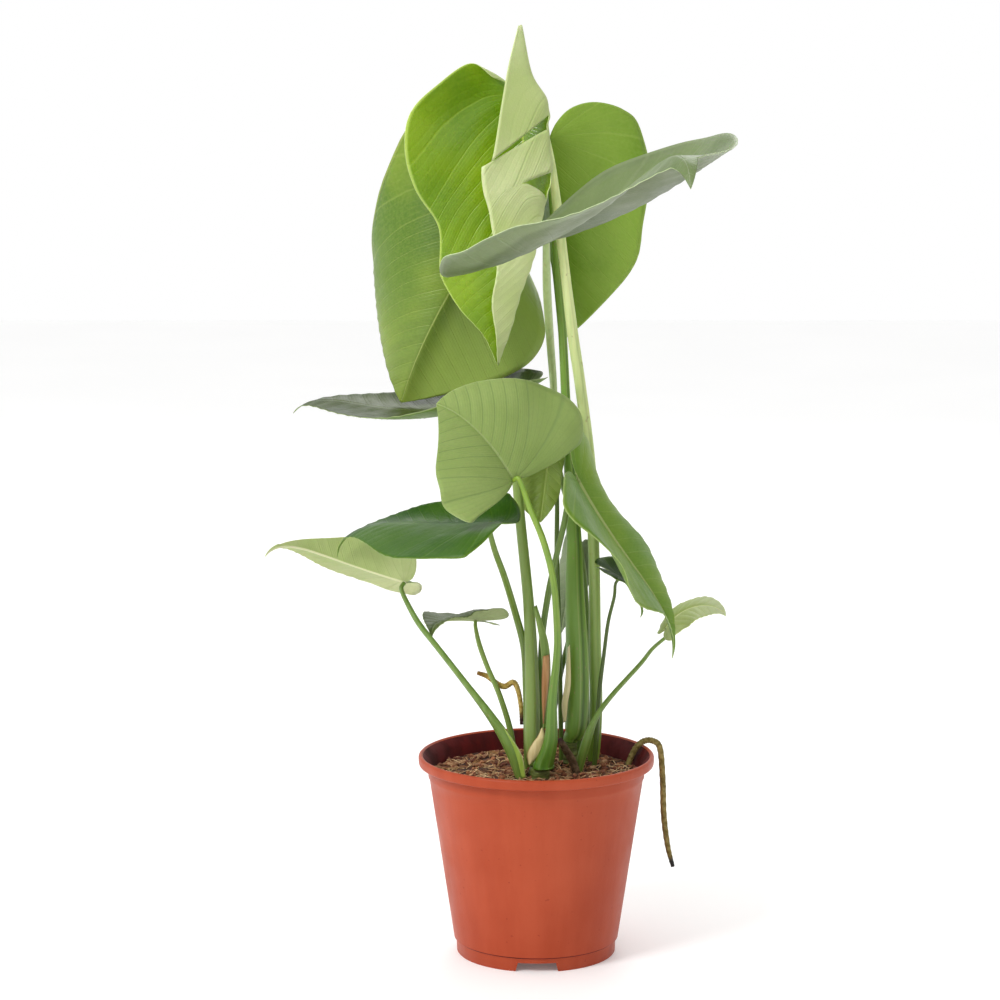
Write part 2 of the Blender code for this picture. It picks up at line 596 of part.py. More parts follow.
def thicken(thing, thickness):
    solidify = thing.modifiers.new("thickness", "SOLIDIFY")
    solidify.thickness = thickness * MM
    solidify.offset = 0.0


def add_leaf(name, mesh, kind, parts, parent):
    mesh.name = name
    smooth(mesh)
    leaf = add_object(name + "_leaf", mesh, parts, parent, kind)
    thicken(leaf, BLADE)


def petiole_points(name):
    """The petiole's route, whose last stretch meets the blade's underside square on."""
    if name == "unfurling":
        junction = np.array(UNFURLING_JUNCTION, float)
        up = np.array(UNFURLING_UP, float)
        droop = 0.0
    else:
        leaf = LEAVES[name]
        middle, _, upward = midrib_frames(leaf, np.zeros(1))
        junction, up = middle[0], upward[0]
        droop = radians(max(0, -min(leaf["fold"])))
    radius = PETIOLES[name][-1][3]
    if name in SEEN_FROM_BELOW:
        up = -up
        droop = radians(max(0, max(leaf["fold"])))
    stand_off = BLADE / 2 / cos(droop) + GAP + radius * (tan(droop) + SLACK)
    knee = junction - up * (stand_off + KNEE)
    end = junction - up * stand_off
    return PETIOLES[name][:-1] + ((*knee, radius), (*end, radius))


def add_petiole(name, parts, sockets, parent):
    points = petiole_points(name)
    mesh = tube_mesh(name + "_petiole", tube_route(points))
    smooth(mesh)
    add_object(name + "_petiole", mesh, parts, parent, "petiole")
    if name not in ON_STEM:
        add_socket(name + "_socket", points, sockets, parent)


def add_shoot(name, points, kind, parts, sockets, parent):
    """A stem or a root; one that stands in the soil gets a socket there."""
    mesh = tube_mesh(name, tube_route(points))
    smooth(mesh)
    add_object(name, mesh, parts, parent, kind)
    if name not in AERIAL:
        add_socket(name + "_socket", points, sockets, parent)


def main():
    clear_scene()
    parts = new_collection("potted_monstera")
    cutters = new_collection("cutters")
    sockets = new_collection("sockets")
    axis = bpy.data.objects.new("pot_axis", None)
    axis.location = (AXIS_X * MM, AXIS_Y * MM, 0)
    parts.objects.link(axis)

    add_pot(parts, cutters, axis)
    for name in PETIOLES:
        if name == "unfurling":
            mesh = unfurling_blade(name)
        else:
            mesh = open_blade(name, LEAVES[name])
        kind = "young_leaf" if name in YOUNG else "leaf"
        add_leaf(name, mesh, kind, parts, axis)
        add_petiole(name, parts, sockets, axis)
    for name, points in STEMS.items():
        add_shoot(name, points, "stem", parts, sockets, axis)
    for name, points in ROOTS.items():
        add_shoot(name, points, "root", parts, sockets, axis)
    add_soil(parts, axis, sockets)


main()
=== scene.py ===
from math import atan2, cos, pi, radians, sin, tau

import bmesh
import bpy
import numpy as np
from mathutils import Matrix, Vector, noise


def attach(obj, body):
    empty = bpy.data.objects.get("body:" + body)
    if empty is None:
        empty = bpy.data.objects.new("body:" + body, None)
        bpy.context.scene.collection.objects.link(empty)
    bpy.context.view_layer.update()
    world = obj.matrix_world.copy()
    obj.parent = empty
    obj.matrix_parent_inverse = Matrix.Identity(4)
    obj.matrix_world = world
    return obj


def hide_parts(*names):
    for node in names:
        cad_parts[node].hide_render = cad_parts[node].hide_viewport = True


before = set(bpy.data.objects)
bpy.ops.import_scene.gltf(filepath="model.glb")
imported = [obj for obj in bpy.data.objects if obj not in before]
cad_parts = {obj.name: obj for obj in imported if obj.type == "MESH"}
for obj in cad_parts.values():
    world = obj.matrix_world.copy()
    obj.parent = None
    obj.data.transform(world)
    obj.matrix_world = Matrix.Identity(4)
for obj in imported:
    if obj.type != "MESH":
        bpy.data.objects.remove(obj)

MM = 0.001
# Clearance that touching pieces keep
GAP = 0.3
# Edges sharper than this are shaded as edges
SHARP_ANGLE = 40.0
MERGE_DISTANCE = 0.00001

# Where the pot's axis stands, from the middle of the whole plant's bounding box
AXIS_X = 26.0
AXIS_Y = 61.0

# Pot
RIM_RADIUS = 85.0
POT_HEIGHT = 145.5
LIP_HEIGHT = 7.5
# Rounded bead of the lip, from its inside over the top to its lower edge: distances inwards from
# the rim's radius and downwards from its height
LIP_BEAD = ((3.2, 1.0), (2.0, 0.0), (0.7, 0.6), (0.0, 2.2), (0.3, 6.5), (1.6, 7.5))
NECK_RADIUS = 78.5
NECK_DROP = 0.6
SHOULDER_Z = 129.0
# Corners of the step at the shoulder and of the foot: distances outwards from the shoulder's and
# the foot's radius, and heights above SHOULDER_Z and above the floor
SHOULDER_STEPS = ((0.9, 1.6), (0.8, 0.4), (0.0, -0.8))
FOOT_STEPS = ((0.6, 9.8), (0.4, 9.2), (0.0, 0.5), (-0.4, 0.0))
# Heights between which the wall tapers, the share of them where its rows start, and its middle
WALL_SPAN = (10.8, 128.0)
WALL_START = 0.95
WALL_MIDDLE = 100.0
BODY_BASE_RADIUS = 59.5
FOOT_RADIUS = 57.5
FOOT_HEIGHT = 10.0
FOOT_WALL = 2.6
FOOT_TAPER = 0.8
WALL = 1.8
FLOOR_UNDERSIDE = 7.5
FLOOR_TOP = 10.0
FLOOR_FILLET = 1.2
FLOOR_MARGIN = 1.0
FLOOR_CENTRE = 1.0
# Openings in the foot ring, the first one towards the viewer
NOTCHES = 3
NOTCH_WIDTH = 27.0
NOTCH_FLARE = 1.25
NOTCH_HEIGHT = 6.5
NOTCH_DEPTH = 12.0
DRAIN_HOLES = 6
DRAIN_CIRCLE = 44.0
DRAIN_RADIUS = 5.0
DRAIN_DEPTH = 12.0
DRAIN_TURN = 27.0

# Soil
SOIL_TOP = 131.0
SOIL_MOUND = 1.5
# Height of the broad and of the small lumps
LUMPS = (1.1, 0.7)
SOIL_CHAMFER = 2.0
# How far the shown soil reaches into the wall, and the width of its lower edge
SOIL_OVERLAP = 0.4
SOIL_EDGE = 4.0
# Height of the soil's fine crumbs, the spread of their noise, its roughness, growth and layers,
# and how much flatter they are at the wall
CRUMB_HEIGHT = 2.4
CRUMB_SCALE = 0.16
CRUMB_NOISE = (0.9, 2.1, 4)
WALL_CALM = 0.6
# How far loose bits keep off the wall
WALL_ROOM = 2.0
# Number, random seed and sizes of crumbs, chips and strands. Of crumbs and chips the least and
# greatest length, and height as a share of it; of strands the lengths and the radii
CRUMBS = (620, 11, (1.0, 3.4, 0.5, 0.95))
CHIPS = (130, 12, (2.5, 7.0, 0.2, 0.45))
STRANDS = (420, 13, (7, 24), (0.2, 0.42))
# Crumbs and chips: width as a share of length, roughness, tilt, and how far they stand out
LUMP_WIDTH = 0.6
LUMP_ROUGHNESS = 0.28
LUMP_TILT = 0.9
LUMP_LIFT = 0.35
LUMP_SHARP = 30.0
# Strands: share of the soil's radius that they start in, height of their bow, lift and turns
FIBRE_REACH = 0.93
FIBRE_BOW = 0.12
FIBRE_LIFT = 0.3
FIBRE_TURN = 0.7
FIBRE_POINTS = 5
FIBRE_DENSITY = 2
FIBRE_SIDES = 5

# Leaf blades
# A blade shorter than this has fewer rows of faces
SMALL_BLADE = 75.0
# Share of the rows of faces that lie in the lobes, and how the rest crowd towards the junction
LOBE_ROWS = 0.12
ROW_POWER = 1.15
# The tip's hook grows with this power of the distance from the junction
HOOK_POWER = 5
MIDRIB_SAMPLES = 160
# How far the midrib is worked out, for each of the lobes' and of the blade's length
MIDRIB_REACH = (1.3, 1.02)
# Ripples of the margin along the blade, and how far they lag behind for each step outwards
WAVES = 1.6
WAVE_LAG = 0.7
# The last stretch of a petiole, square on the blade, how far it ends before the blade's middle
# and how much thinner it is there
KNEE = 4.5
KNEE_GAP = 0.3
KNEE_END = 0.9

# The outline of half a heart: the lobe behind the junction as (share of the lobe's length,
# share of the width), then the blade, whose width falls off towards the tip
LOBE = ((0.0, 0.0), (-0.45, 0.07), (-0.86, 0.22), (-1.0, 0.46), (-0.78, 0.76), (-0.28, 0.95))
BLADE_STEPS = (0.0, 0.22, 0.42, 0.58, 0.72, 0.84, 0.93, 1.0)

# One row for each leaf whose two halves both lie open.
#   at      junction of petiole and blade
#   way     heading and pitch of the midrib there; heading 0 is +x, 90 is away from the viewer
#   bend    arch (change of pitch), hook (extra change at the tip), sway (change of heading)
#   turn    roll about the midrib, and its change towards the tip
#   size    length of the blade before the junction, of the left lobe and of the right lobe
#   width   left and right half
#   fold    angle of the left and right half up from flat, at the midrib
#   curl    further bend of the left and right half from midrib to margin
#   shape   where the widest place ends, fullness of the flank, slimness of the tip
#   wave    height and phase of the margin's ripple
LEAVES = {
    "back_left": dict(at=(-23, 40, 542), way=(-135, -52), bend=(-17, 0, -86), turn=(96, 0),
        size=(168, 53, 60), width=(95, 95), fold=(-34, -14), curl=(27, -76), shape=(0.30, 1.26, 0.90),
        wave=(-1, 42)),
    "back_right": dict(at=(9, 62, 584), way=(-94, -95), bend=(-11, 0, -34), turn=(-27, 0),
        size=(150, 27, 27), width=(75, 47), fold=(-20, -40), curl=(-53, 16), shape=(0.21, 1.32, 0.90),
        wave=(4, -41)),
    "slanted_top": dict(at=(3, -92, 526), way=(-36, 18), bend=(18, -109, -49), turn=(0, -14),
        size=(199, 47, 52), width=(118, 118), fold=(-18, -33), curl=(80, 53), shape=(0.07, 1.60, 2.57),
        wave=(2, 39)),
    "dark_side": dict(at=(-21, 5, 406), way=(178, -22), bend=(57, -80, -37), turn=(0, 15),
        size=(175, 30, 30), width=(58, 53), fold=(-11, -10), curl=(42, 44), shape=(0.10, 1.02, 1.32),
        wave=(-1, 48)),
    "centre": dict(at=(-17, -65, 353), way=(205, 62), bend=(-28, -19, -31), turn=(71, 6),
        size=(78, 4, 4), width=(56, 62), fold=(12, 26), curl=(-23, -7), shape=(0.19, 1.08, 0.90),
        wave=(4, -76)),
    "glossy_left": dict(at=(-33, -61, 323.3), way=(162, -5), bend=(7, -86, -18), turn=(-25, 28),
        size=(135, 15, 15), width=(66, 48), fold=(-19, 2), curl=(-36, 80), shape=(0.02, 1.11, 1.69),
        wave=(-2, 36)),
    "low_left": dict(at=(-94.6, -1, 270.8), way=(166, 14), bend=(21, -73, 67), turn=(-35, -30),
        size=(115, 8, 6), width=(35, 45), fold=(35, 35), curl=(11, -40), shape=(0.03, 0.75, 1.68),
        wave=(2, 39)),
    "small_left": dict(at=(-44, 21, 239), way=(194, 7), bend=(-5, -76, 72), turn=(-33, 36),
        size=(53, 25, 17), width=(24, 21), fold=(28, 24), curl=(-64, 11), shape=(0.27, 1.20, 1.57),
        wave=(-1, 38)),
    "right_drooping": dict(at=(29, -30, 347), way=(26, -59), bend=(20, -62, 8), turn=(-28, 6),
        size=(159, 34, 18), width=(45, 64), fold=(55, -5), curl=(-90, 2), shape=(0.22, 1.32, 2.00),
        wave=(6, 124)),
    "shaded": dict(at=(9, 18, 362), way=(-114, -72), bend=(0, 0, 0), turn=(7, 0), size=(51, 8, 8),
        width=(12, 25), fold=(8, 8), curl=(-21, -32), shape=(0.30, 1.53, 0.90), wave=(2, -1)),
    "hidden_lower": dict(at=(32, 50, 288), way=(-222, -70), bend=(-10, 0, 0), turn=(77, 0),
        size=(68, 10, 10), width=(17, 18), fold=(8, 8), curl=(-38, -15), shape=(0.22, 1.21, 0.90),
        wave=(-1, 27)),
    "small_right_dark": dict(at=(60, 6, 273), way=(1, -36), bend=(-43, -30, 0), turn=(2, -2),
        size=(35, 20, 20), width=(24, 21), fold=(8, 8), curl=(34, -20), shape=(0.10, 1.00, 1.33),
        wave=(1, -84)),
    "low_right": dict(at=(94.5, 40, 229), way=(5, 60), bend=(-83, -37, -19), turn=(-17, -20),
        size=(54, 6, 6), width=(20, 23), fold=(1, 6), curl=(-38, -1), shape=(0.18, 1.17, 1.08),
        wave=(1, -99)),
}

# The unfurling leaf, section by section from its upper lobes to its drip tip. Each section
# runs from the open margin on the left, over a point half-way, to the midrib, round the turn
# on the right and back over the front to the free margin of the rolled half. The first two are
# drawn out into its spike.
UNFURLING_SECTIONS = (
    ((-31, 18, 628), (-21, 22, 624), (-10, 24, 616), (-10.5, 7, 660), (-13.5, 3, 664)),
    ((-47, 14, 638), (-28, 24, 628), (-10, 25, 612), (-4, 9, 632), (-20, 0, 638)),
    ((-69, 8, 624), (-38, 24, 616), (-10, 26, 604), (6, 10, 614), (-25, -2, 610)),
    ((-89, 4, 604), (-48, 22, 600), (-10, 26, 592), (8, 10, 602), (-32, -4, 570)),
    ((-93, 4, 578), (-50, 20, 578), (-10, 25, 576), (7, 10, 592), (-39, -4, 566)),
    ((-86, 8, 550), (-48, 20, 552), (-10, 24, 555), (10, 8, 562), (-37, -4, 545)),
    ((-70, 12, 524), (-40, 20, 530), (-11, 22, 534), (6, 8, 542), (-28, -4, 524)),
    ((-69, 10, 497), (-42, 18, 504), (-12, 20, 514), (1, 8, 520), (-28, -3, 502)),
    ((-67, 10, 486), (-44, 16, 490), (-15, 18, 496), (-3, 8, 500), (-29, -2, 489)),
    ((-55, 8, 466), (-40, 12, 469), (-20, 14, 470), (-12, 7, 476), (-32, -1, 470)),
    ((-38, 6, 447), (-33, 8, 449), (-24, 9, 448), (-19, 6, 450), (-29, 1, 447)),
)
UNFURLING_TIP = (-28, 4, 426)
UNFURLING_JUNCTION = (-10, 25, 612)
UNFURLING_UP = (0, -1, 0)
# The section whose left half tells which face looks at the viewer
UNFURLING_MIDDLE = 5
# Faces across each section, and the face where the rolled half begins
UNFURLING_ACROSS = 12
UNFURLING_TURN = 9
# Sections after which the rolled half is split, from its free margin to the turn on the right
SPLITS = (3, 5)

# Petioles, stems and roots: points along the middle of each, with the radius there. A petiole's
# last point is only a guide for its radius; its end follows from the blade that it carries.
PETIOLES = {
    "back_left": ((33, 38, 125, 2.4), (31, 38, 150, 2.5), (31, 40, 184, 2.6), (30, 43, 251, 2.4),
        (27, 46, 324, 2.2), (21, 50, 411, 2.2), (16, 56, 469, 2.2), (12, 56, 500, 2.2),
        (4, 49, 524, 2.1), (-10, 39, 540, 2.0), (-20, 38, 542, 1.5)),
    "back_right": ((25, 16, 150.6, 5.0), (25.5, 16, 153.5, 5.6), (29, 16, 163, 8.0), (30, 19, 203, 8.5),
        (28, 22, 261, 6.9), (27, 25, 305, 5.4), (22, 33, 384, 3.6), (19, 40, 444, 3.1),
        (15, 46, 491, 2.6), (11, 50, 541, 2.2), (9, 56, 578, 1.8)),
    "unfurling": ((41, 31, 125, 3.5), (43, 30, 145, 4.5), (44, 30, 178, 4.7), (43, 30, 223, 4.4),
        (42, 29, 282, 4.2), (39, 28, 348, 4.2), (32, 27, 406, 4.0), (26, 27, 446, 4.0),
        (21, 30, 485, 3.6), (14, 34, 542, 3.3), (9, 38, 577, 2.4), (2, 38, 600, 2.2),
        (-10, 30, 612, 2.0)),
    "slanted_top": ((38, 45, 125, 2.4), (37, 44, 182, 2.6), (36, 38, 252, 2.5), (30, 37, 300, 2.4),
        (17, 41, 345, 2.3), (13, 35, 378, 2.4), (12, 14, 410, 2.6), (9, -19, 445, 2.8),
        (6, -60, 484, 2.9), (4, -87, 516, 2.4)),
    "dark_side": ((-1, -14, 140.6, 5.2), (-1.3, -13.8, 144, 5.4), (-3, -12, 157, 5.7),
        (-3, -11, 187, 5.3), (-4, -10, 223, 4.6), (-6, -7, 259, 3.9), (-11, -3, 309, 3.7),
        (-14, 0, 341, 3.4), (-17, 3, 373, 3.0), (-20, 5, 398, 2.2)),
    "centre": ((5, -24, 140.6, 4.4), (5.4, -24.5, 144, 4.5), (10, -28, 162, 4.6), (11, -30, 191, 3.3),
        (14, -33, 224, 2.6), (14, -37, 246, 2.5), (11, -46, 280, 2.3), (4, -56, 309, 2.3),
        (-6, -66, 335, 2.1), (-17, -67, 352, 1.7)),
    "glossy_left": ((-6, -1, 125, 2.6), (-6.5, -1.5, 161, 2.8), (-7.1, -2.3, 194, 2.8),
        (-8.8, -3, 223, 2.7), (-15, -9, 249, 2.5), (-23, -34, 280, 2.3), (-29.5, -52, 301, 2.1),
        (-33, -60, 317, 1.8)),
    "low_left": ((-9, -22, 125, 3.0), (-19, -24, 155, 4.4), (-32, -25, 177, 3.2), (-50, -24, 201, 2.3),
        (-70, -21, 226.5, 2.1), (-83, -15, 242, 2.1), (-90.5, -9, 253.5, 1.9), (-94, -5, 267, 1.6)),
    "small_left": ((-15, 8, 125, 2.2), (-18, 8, 157, 2.2), (-26, 9, 185, 2.0), (-35, 11, 206, 1.8),
        (-41, 15, 222, 1.8), (-44, 19, 234, 1.4)),
    "right_drooping": ((4, 6, 125, 2.7), (3, 4, 184, 2.5), (4, 0, 229, 2.3), (8, -7, 262, 2.3),
        (13, -16, 289, 2.1), (19, -24, 317, 2.1), (26, -30, 342, 1.7)),
    "shaded": ((19, 31, 125, 1.8), (18, 33, 178, 1.8), (17, 32, 224, 1.8), (15, 27, 284, 1.8),
        (15, 28, 328, 1.6), (13, 26, 350, 1.4), (11, 24, 360, 1.3)),
    "hidden_lower": ((9, 36, 125, 2.2), (13, 40, 165, 2.2), (19, 48, 197, 2.0), (29, 58, 235, 1.8),
        (37, 60, 264, 1.6), (36, 54, 282, 1.4)),
    "small_right_dark": ((42, 16, 125, 1.8), (44, 16, 155, 1.8), (46, 17, 188, 1.6), (49, 17, 214, 1.4),
        (52, 15, 239, 1.3), (56, 10, 258, 1.2), (58, 7, 268, 1.1)),
    "low_right": ((28, -2, 125, 3.0), (36, -4, 155, 3.4), (43, 0, 172, 2.1), (54.3, 8, 186, 1.8),
        (76, 24, 206.5, 1.6), (85.5, 34, 216, 1.4), (94, 40, 225, 1.2)),
}
# Leaves whose described upper face is the lower one, so that the petiole meets it
SEEN_FROM_BELOW = ("back_left", "back_right", "centre")
STEMS = {
    "left_stem": ((2, -19, 124, 7.0), (2, -19, 132, 7.6), (2, -19, 140, 7.4)),
    "right_stem": ((25, 16, 124, 4.6), (25, 16, 137, 5.0), (25, 16, 150, 4.8)),
}
ROOTS = {
    "curled_root": ((-10.6, 3.5, 166, 1.2), (-10.9, 3.5, 178, 1.6), (-13, 6, 190, 1.8),
        (-16.5, 10, 195.5, 2.0), (-22.5, 13.2, 192, 2.1), (-28, 14.4, 193.5, 2.1),
        (-35, 14.5, 199, 1.9), (-42.5, 13, 202, 1.4)),
    "rim_root": ((66, 19, 124, 2.2), (68, 20, 134, 2.2), (73, 23, 144, 2.2), (79, 26, 148.6, 2.2),
        (86, 28, 148.2, 2.2), (91, 30, 142, 2.2), (93, 29, 119, 2.2), (94, 28, 93, 2.2),
        (97, 27, 70, 2.0), (101, 27, 54, 1.4)),
    "stub_root": ((31, -11, 126, 2.6), (26, -12, 142, 2.8), (21, -13, 151, 2.7), (16, -12, 159, 2.0)),
}
# Fineness of the shown shapes
LEAF_ROWS = 90
SMALL_LEAF_ROWS = 56
# Columns of each half, and how they crowd towards the midrib
LEAF_COLUMNS = 17
COLUMN_POWER = 1.3
# Rows for each section of the young leaf, and columns round it
ROLL_ROWS = 9
ROLL_COLUMNS = 60
LEAF_THICKNESS = 0.5
# The midrib is a channel, and the blade swells between the side veins from QUILT_START outwards
RIB_DEPTH = 0.6
RIB_HALF_WIDTH = 1.2
QUILT = 0.3
QUILT_START = 9.0
# How side veins run: outwards for each step along, their bend, and their wobble
VEIN_SLOPE = 0.75
VEIN_BEND = 0.004
VEIN_WOBBLE = 0.25
WOBBLE_SCALE = 25.0
# Veins for each radian of the fan in the lobes
LOBE_VEINS = 2.2
# Rings of a tube for each point of its route, and points round it
ROUTE_DENSITY = 6
ROOT_DENSITY = 22
TUBE_SIDES = 28
# A full turn round a tube in its flat coordinates
TURN_SCALE = 0.02
# Width of a stalk's groove in radians, and the share of the stalk at which it has run out
GROOVE_WIDTH = 0.3
GROOVE_END = 1.15
# Where a stalk swells at its foot, and over what length
SWELL_PLACE = 0.05
SWELL_LENGTH = 0.1
# Fineness of the pot and the soil
BEAD_POINTS = 26
WALL_ROWS = 12
FINE_POT_STEPS = 180
HOLE_SIDES = 32
GROUND_STEPS = 170
GROUND_RINGS = 64
# Share of a blade that its drip tip takes, and the tip's least half-width at its start
DRIP_SHARE = 0.14
DRIP_POWER = 0.8
DRIP_TIPS = {"slanted_top": 9.0, "right_drooping": 4.0, "dark_side": 3.0, "glossy_left": 3.0,
             "low_left": 2.5, "low_right": 2.0}
# The lower split is a wedge: the share of its width that stays open, and the rows drawn up to it
WEDGE = 0.5
CLOSING_ROWS = 14
# Sheaths are thin sheets that bow towards the viewer
SHEATH_ROWS = 24
SHEATH_COLUMNS = 9
SHEATH_THICKNESS = 0.6
SHEATH_BOW = 1.2
# The inside of the pot, painted darker as shade: faces that look inwards by FACING_IN or more, below the
# lip's top
FACING_IN = -0.2
LIP_TOP = 1.2
# How near its height a face counts as the pot's floor
NEAR_FLOOR = 0.5
# Height and rings of the wrinkles on roots and stems; ROOT_SEED sets the roots' off from the stems'
ROOT_WRINKLES = (0.08, 34)
STEM_WRINKLES = (0.05, 3)
ROOT_SEED = 5

# Stage
FLOOR = 6.0
LOOK_AT = (0.0, 0.0, 0.3)
CAMERA = (-0.0002, -1.939, 0.6124)
CAMERA_DOWN = 0.1402
LENS = 102.0
SENSOR = 36.0
WORLD_LIGHT = 1.0
# The right front of the room is darker
DARKER_SIDE = (0.8, -0.6, 0.0)
DARKER_SPAN = (-0.1, 0.9)
DARKER_SHARE = 0.62
# Name, place, diameter and power of each light
LIGHTS = (
    ("key", (-1.6, -1.5, 2.1), 0.9, 42.0),
    ("fill", (1.9, -1.2, 1.3), 1.6, 1.5),
    ("back", (0.3, 2.0, 2.0), 1.4, 12.0),
)

# Colours as the eye sees them, 0 to 255, once the surface's own colour is lit by LIGHT and SHINE
# is added, the pale room that a satin surface mirrors
LIGHT = 1.02
SHINE = 0.024
DARKEST = 0.006
POT_DARK = (164, 75, 54)
POT_LIGHT = (178, 87, 64)
POT_FLOW = (214, 112, 82)
POT_SPECK = (120, 52, 36)
# Painted shade: the pot's inside is the same plastic, painted darker where shade falls in it
INSIDE_SHADE_DARK = (80, 32, 18)
INSIDE_SHADE_LIGHT = (106, 44, 26)
PEAT_DARK = (66, 40, 28)
PEAT_LIGHT = (134, 92, 64)
PEAT_BIT = (140, 106, 74)
CRUMB = ((98, 58, 40), (176, 120, 86))
CHIP = ((112, 72, 50), (196, 154, 116))
COIR = ((168, 124, 84), (238, 204, 160))
BARK_DARK = (84, 92, 48)
BARK_LIGHT = (126, 138, 74)
CORK = (150, 138, 96)
GROOVE_LIP = (206, 204, 150)
# The floor's own colours; it glows a little so that it meets the room without a seam
FLOOR_DARK = (0.95, 0.95, 0.946, 1)
FLOOR_LIGHT = (0.965, 0.965, 0.96, 1)
FLOOR_GLOW = 0.09

# How a blade is painted. Pairs are where a soft edge starts and ends.
# Side veins in millimetres from their middle, and the fine veins between them
VEIN_EDGE = (0.15, 0.8)
FINE_VEINS = 5.0
FINE_VEIN_EDGE = (0.04, 0.2)
FINE_VEIN_SHARE = 0.25
GRAIN_SHARE = 0.16
# Where the midrib starts to narrow, its width at the tip, the share of it that is plain, and its
# strength
RIB_START = 0.1
RIB_TAPER = 0.35
RIB_CORE = 0.55
RIB_SHARE = 0.85
# Where the tip's own tone starts, and millimetres over which the painted light on one half fades in
TIP_START = 0.45
LIT_HALF_FADE = 20.0
# A pale band along the margin: its soft edge, where it starts along the blade, and its tone
BAND_FADE = 0.08
BAND_START = (0.3, 0.42)
BAND_TONE = (174, 190, 149)
# The pale line at the very margin, and how far red, green and blue light spreads in the blade
PALE_EDGE = (0.972, 0.99)
EDGE_SHARE = 0.5
LEAF_GLOW = (0.4, 1.0, 0.15)
# How the roughness of a blade spreads, and the heights of its veins, fine veins and grain
ROUGH_SPREAD = (-0.05, 0.08)
VEIN_RELIEF = -0.5
FINE_VEIN_RELIEF = -0.25
GRAIN_RELIEF = 0.5
# A stalk's groove and the pale lip beside it, in turns round the stalk
GROOVE_EDGE = (0.01, 0.05)
GROOVE_LIP_PLACE = 0.075
GROOVE_LIP_EDGE = (0.006, 0.02)
GROOVE_LIP_SHARE = 0.35
# How much lighter a stalk's streaks are, and how dark the painted shade in its groove
STREAK_LIFT = 26
SHADE_SHARE = 0.62

# What a blade's face has unless its row says otherwise
FACE = dict(tip_share=0.0, half_share=0.0, veins=0.25, rough=0.42, gloss=0.35, rib_width=1.3,
            band=0.0, band_from=0.7)


def face(dark, light, vein, rib, **other):
    """Tones of one face of a blade: its two greens, the side veins and the midrib."""
    return {**FACE, "dark": dark, "light": light, "vein": vein, "rib": rib, "tip": light,
            "half": light, **other}


GREEN = face((92, 126, 38), (116, 148, 54), (140, 168, 80), (166, 190, 112))
GREEN_BACK = face((104, 132, 62), (126, 152, 80), (146, 168, 100), (168, 188, 122), rough=0.55, gloss=0.3)
GREY = face((112, 128, 88), (134, 148, 112), (150, 162, 126), (168, 182, 140), rough=0.45, gloss=0.4)
PALE = face((160, 176, 122), (178, 190, 142), (150, 168, 112), (196, 206, 158), rough=0.6, gloss=0.3,
            rib_width=1.6)
DARK = face((55, 85, 13), (75, 108, 20), (95, 126, 33), (110, 137, 40), rough=0.42, gloss=0.25, veins=0.2)
MATT = face((133, 153, 89), (149, 167, 102), (122, 143, 89), (158, 175, 116), rough=0.65, gloss=0.2,
            veins=0.5)
FRESH = face((116, 153, 29), (146, 179, 46), (168, 195, 70), (196, 215, 100), rough=0.26, gloss=0.7)
FRESH_BACK = face((189, 203, 134), (212, 220, 165), (178, 196, 124), (220, 228, 176), rough=0.42, gloss=0.5)
# Upper and lower face as described by the frames of LEAVES, margin, and distance of the veins
LEAF_LOOKS = {
    # back_left's half tone is painted light: it lightens its left half, which lies in shade
    "back_left": (face((89, 118, 32), (119, 143, 53), (148, 166, 83), (170, 184, 106),
        tip=(148, 166, 86), tip_share=0.5, half=(168, 192, 100), half_share=0.85), GREEN_BACK,
        (160, 180, 112), 15.0),
    "back_right": (face((112, 146, 42), (137, 167, 69), (156, 181, 88), (166, 192, 97)), GREEN_BACK,
        (150, 172, 100), 13.0),
    "unfurling": (FRESH, FRESH_BACK, (206, 218, 150), 14.0),
    "slanted_top": (face((98, 115, 72), (118, 134, 90), (134, 146, 108), (142, 157, 114)),
        face((84, 98, 65), (107, 118, 86), (122, 132, 99), (148, 162, 126), tip=(131, 147, 97),
        tip_share=0.5, band=0.25, band_from=0.74), (180, 194, 150), 17.0),
    "dark_side": (face((61, 75, 37), (78, 89, 53), (89, 99, 60), (99, 112, 66)), GREEN_BACK,
        (128, 142, 96), 15.0),
    "centre": (MATT, MATT, (176, 192, 132), 10.0),
    "glossy_left": (DARK, GREEN_BACK, (112, 138, 70), 11.0),
    "low_left": (GREEN, face((168, 182, 118), (202, 208, 155), (151, 170, 104), (224, 225, 183),
        rough=0.5), (186, 200, 140), 9.0),
    "small_left": (face((76, 90, 48), (94, 108, 64), (108, 122, 76), (126, 140, 88)), PALE,
        (150, 164, 112), 6.0),
    "right_drooping": (face((98, 135, 30), (122, 152, 52), (145, 169, 74), (173, 184, 119),
        rib_width=2.2), GREEN_BACK, (150, 172, 100), 13.0),
    "shaded": (face((114, 137, 57), (135, 155, 75), (154, 174, 93), (168, 185, 107)), GREEN_BACK,
        (130, 150, 84), 7.0),
    "hidden_lower": (GREY, GREEN_BACK, (140, 156, 104), 8.0),
    "small_right_dark": (face((60, 84, 26), (78, 100, 38), (96, 118, 52), (112, 132, 66), rough=0.55,
        gloss=0.15), GREEN_BACK, (120, 138, 80), 6.0),
    "low_right": (face((149, 167, 84), (176, 190, 117), (191, 202, 132), (212, 219, 157),
        tip=(208, 211, 188), tip_share=0.6), FRESH_BACK, (196, 208, 150), 7.0),
}


def stalk(foot, top, groove=0.0, depth=0.08, line=0.2, swell=0.0):
    """Tones of a petiole from its foot to its top, and the side and depth of its groove."""
    lighter = tuple(min(255, value + STREAK_LIFT) for value in foot)
    # The groove's tone is painted shade, darker than the foot
    groove_shade_tone = tuple(value * SHADE_SHARE for value in foot)
    return dict(foot=foot, top=top, groove=groove, depth=depth, streak=lighter, shade=groove_shade_tone,
                line=line, swell=swell)


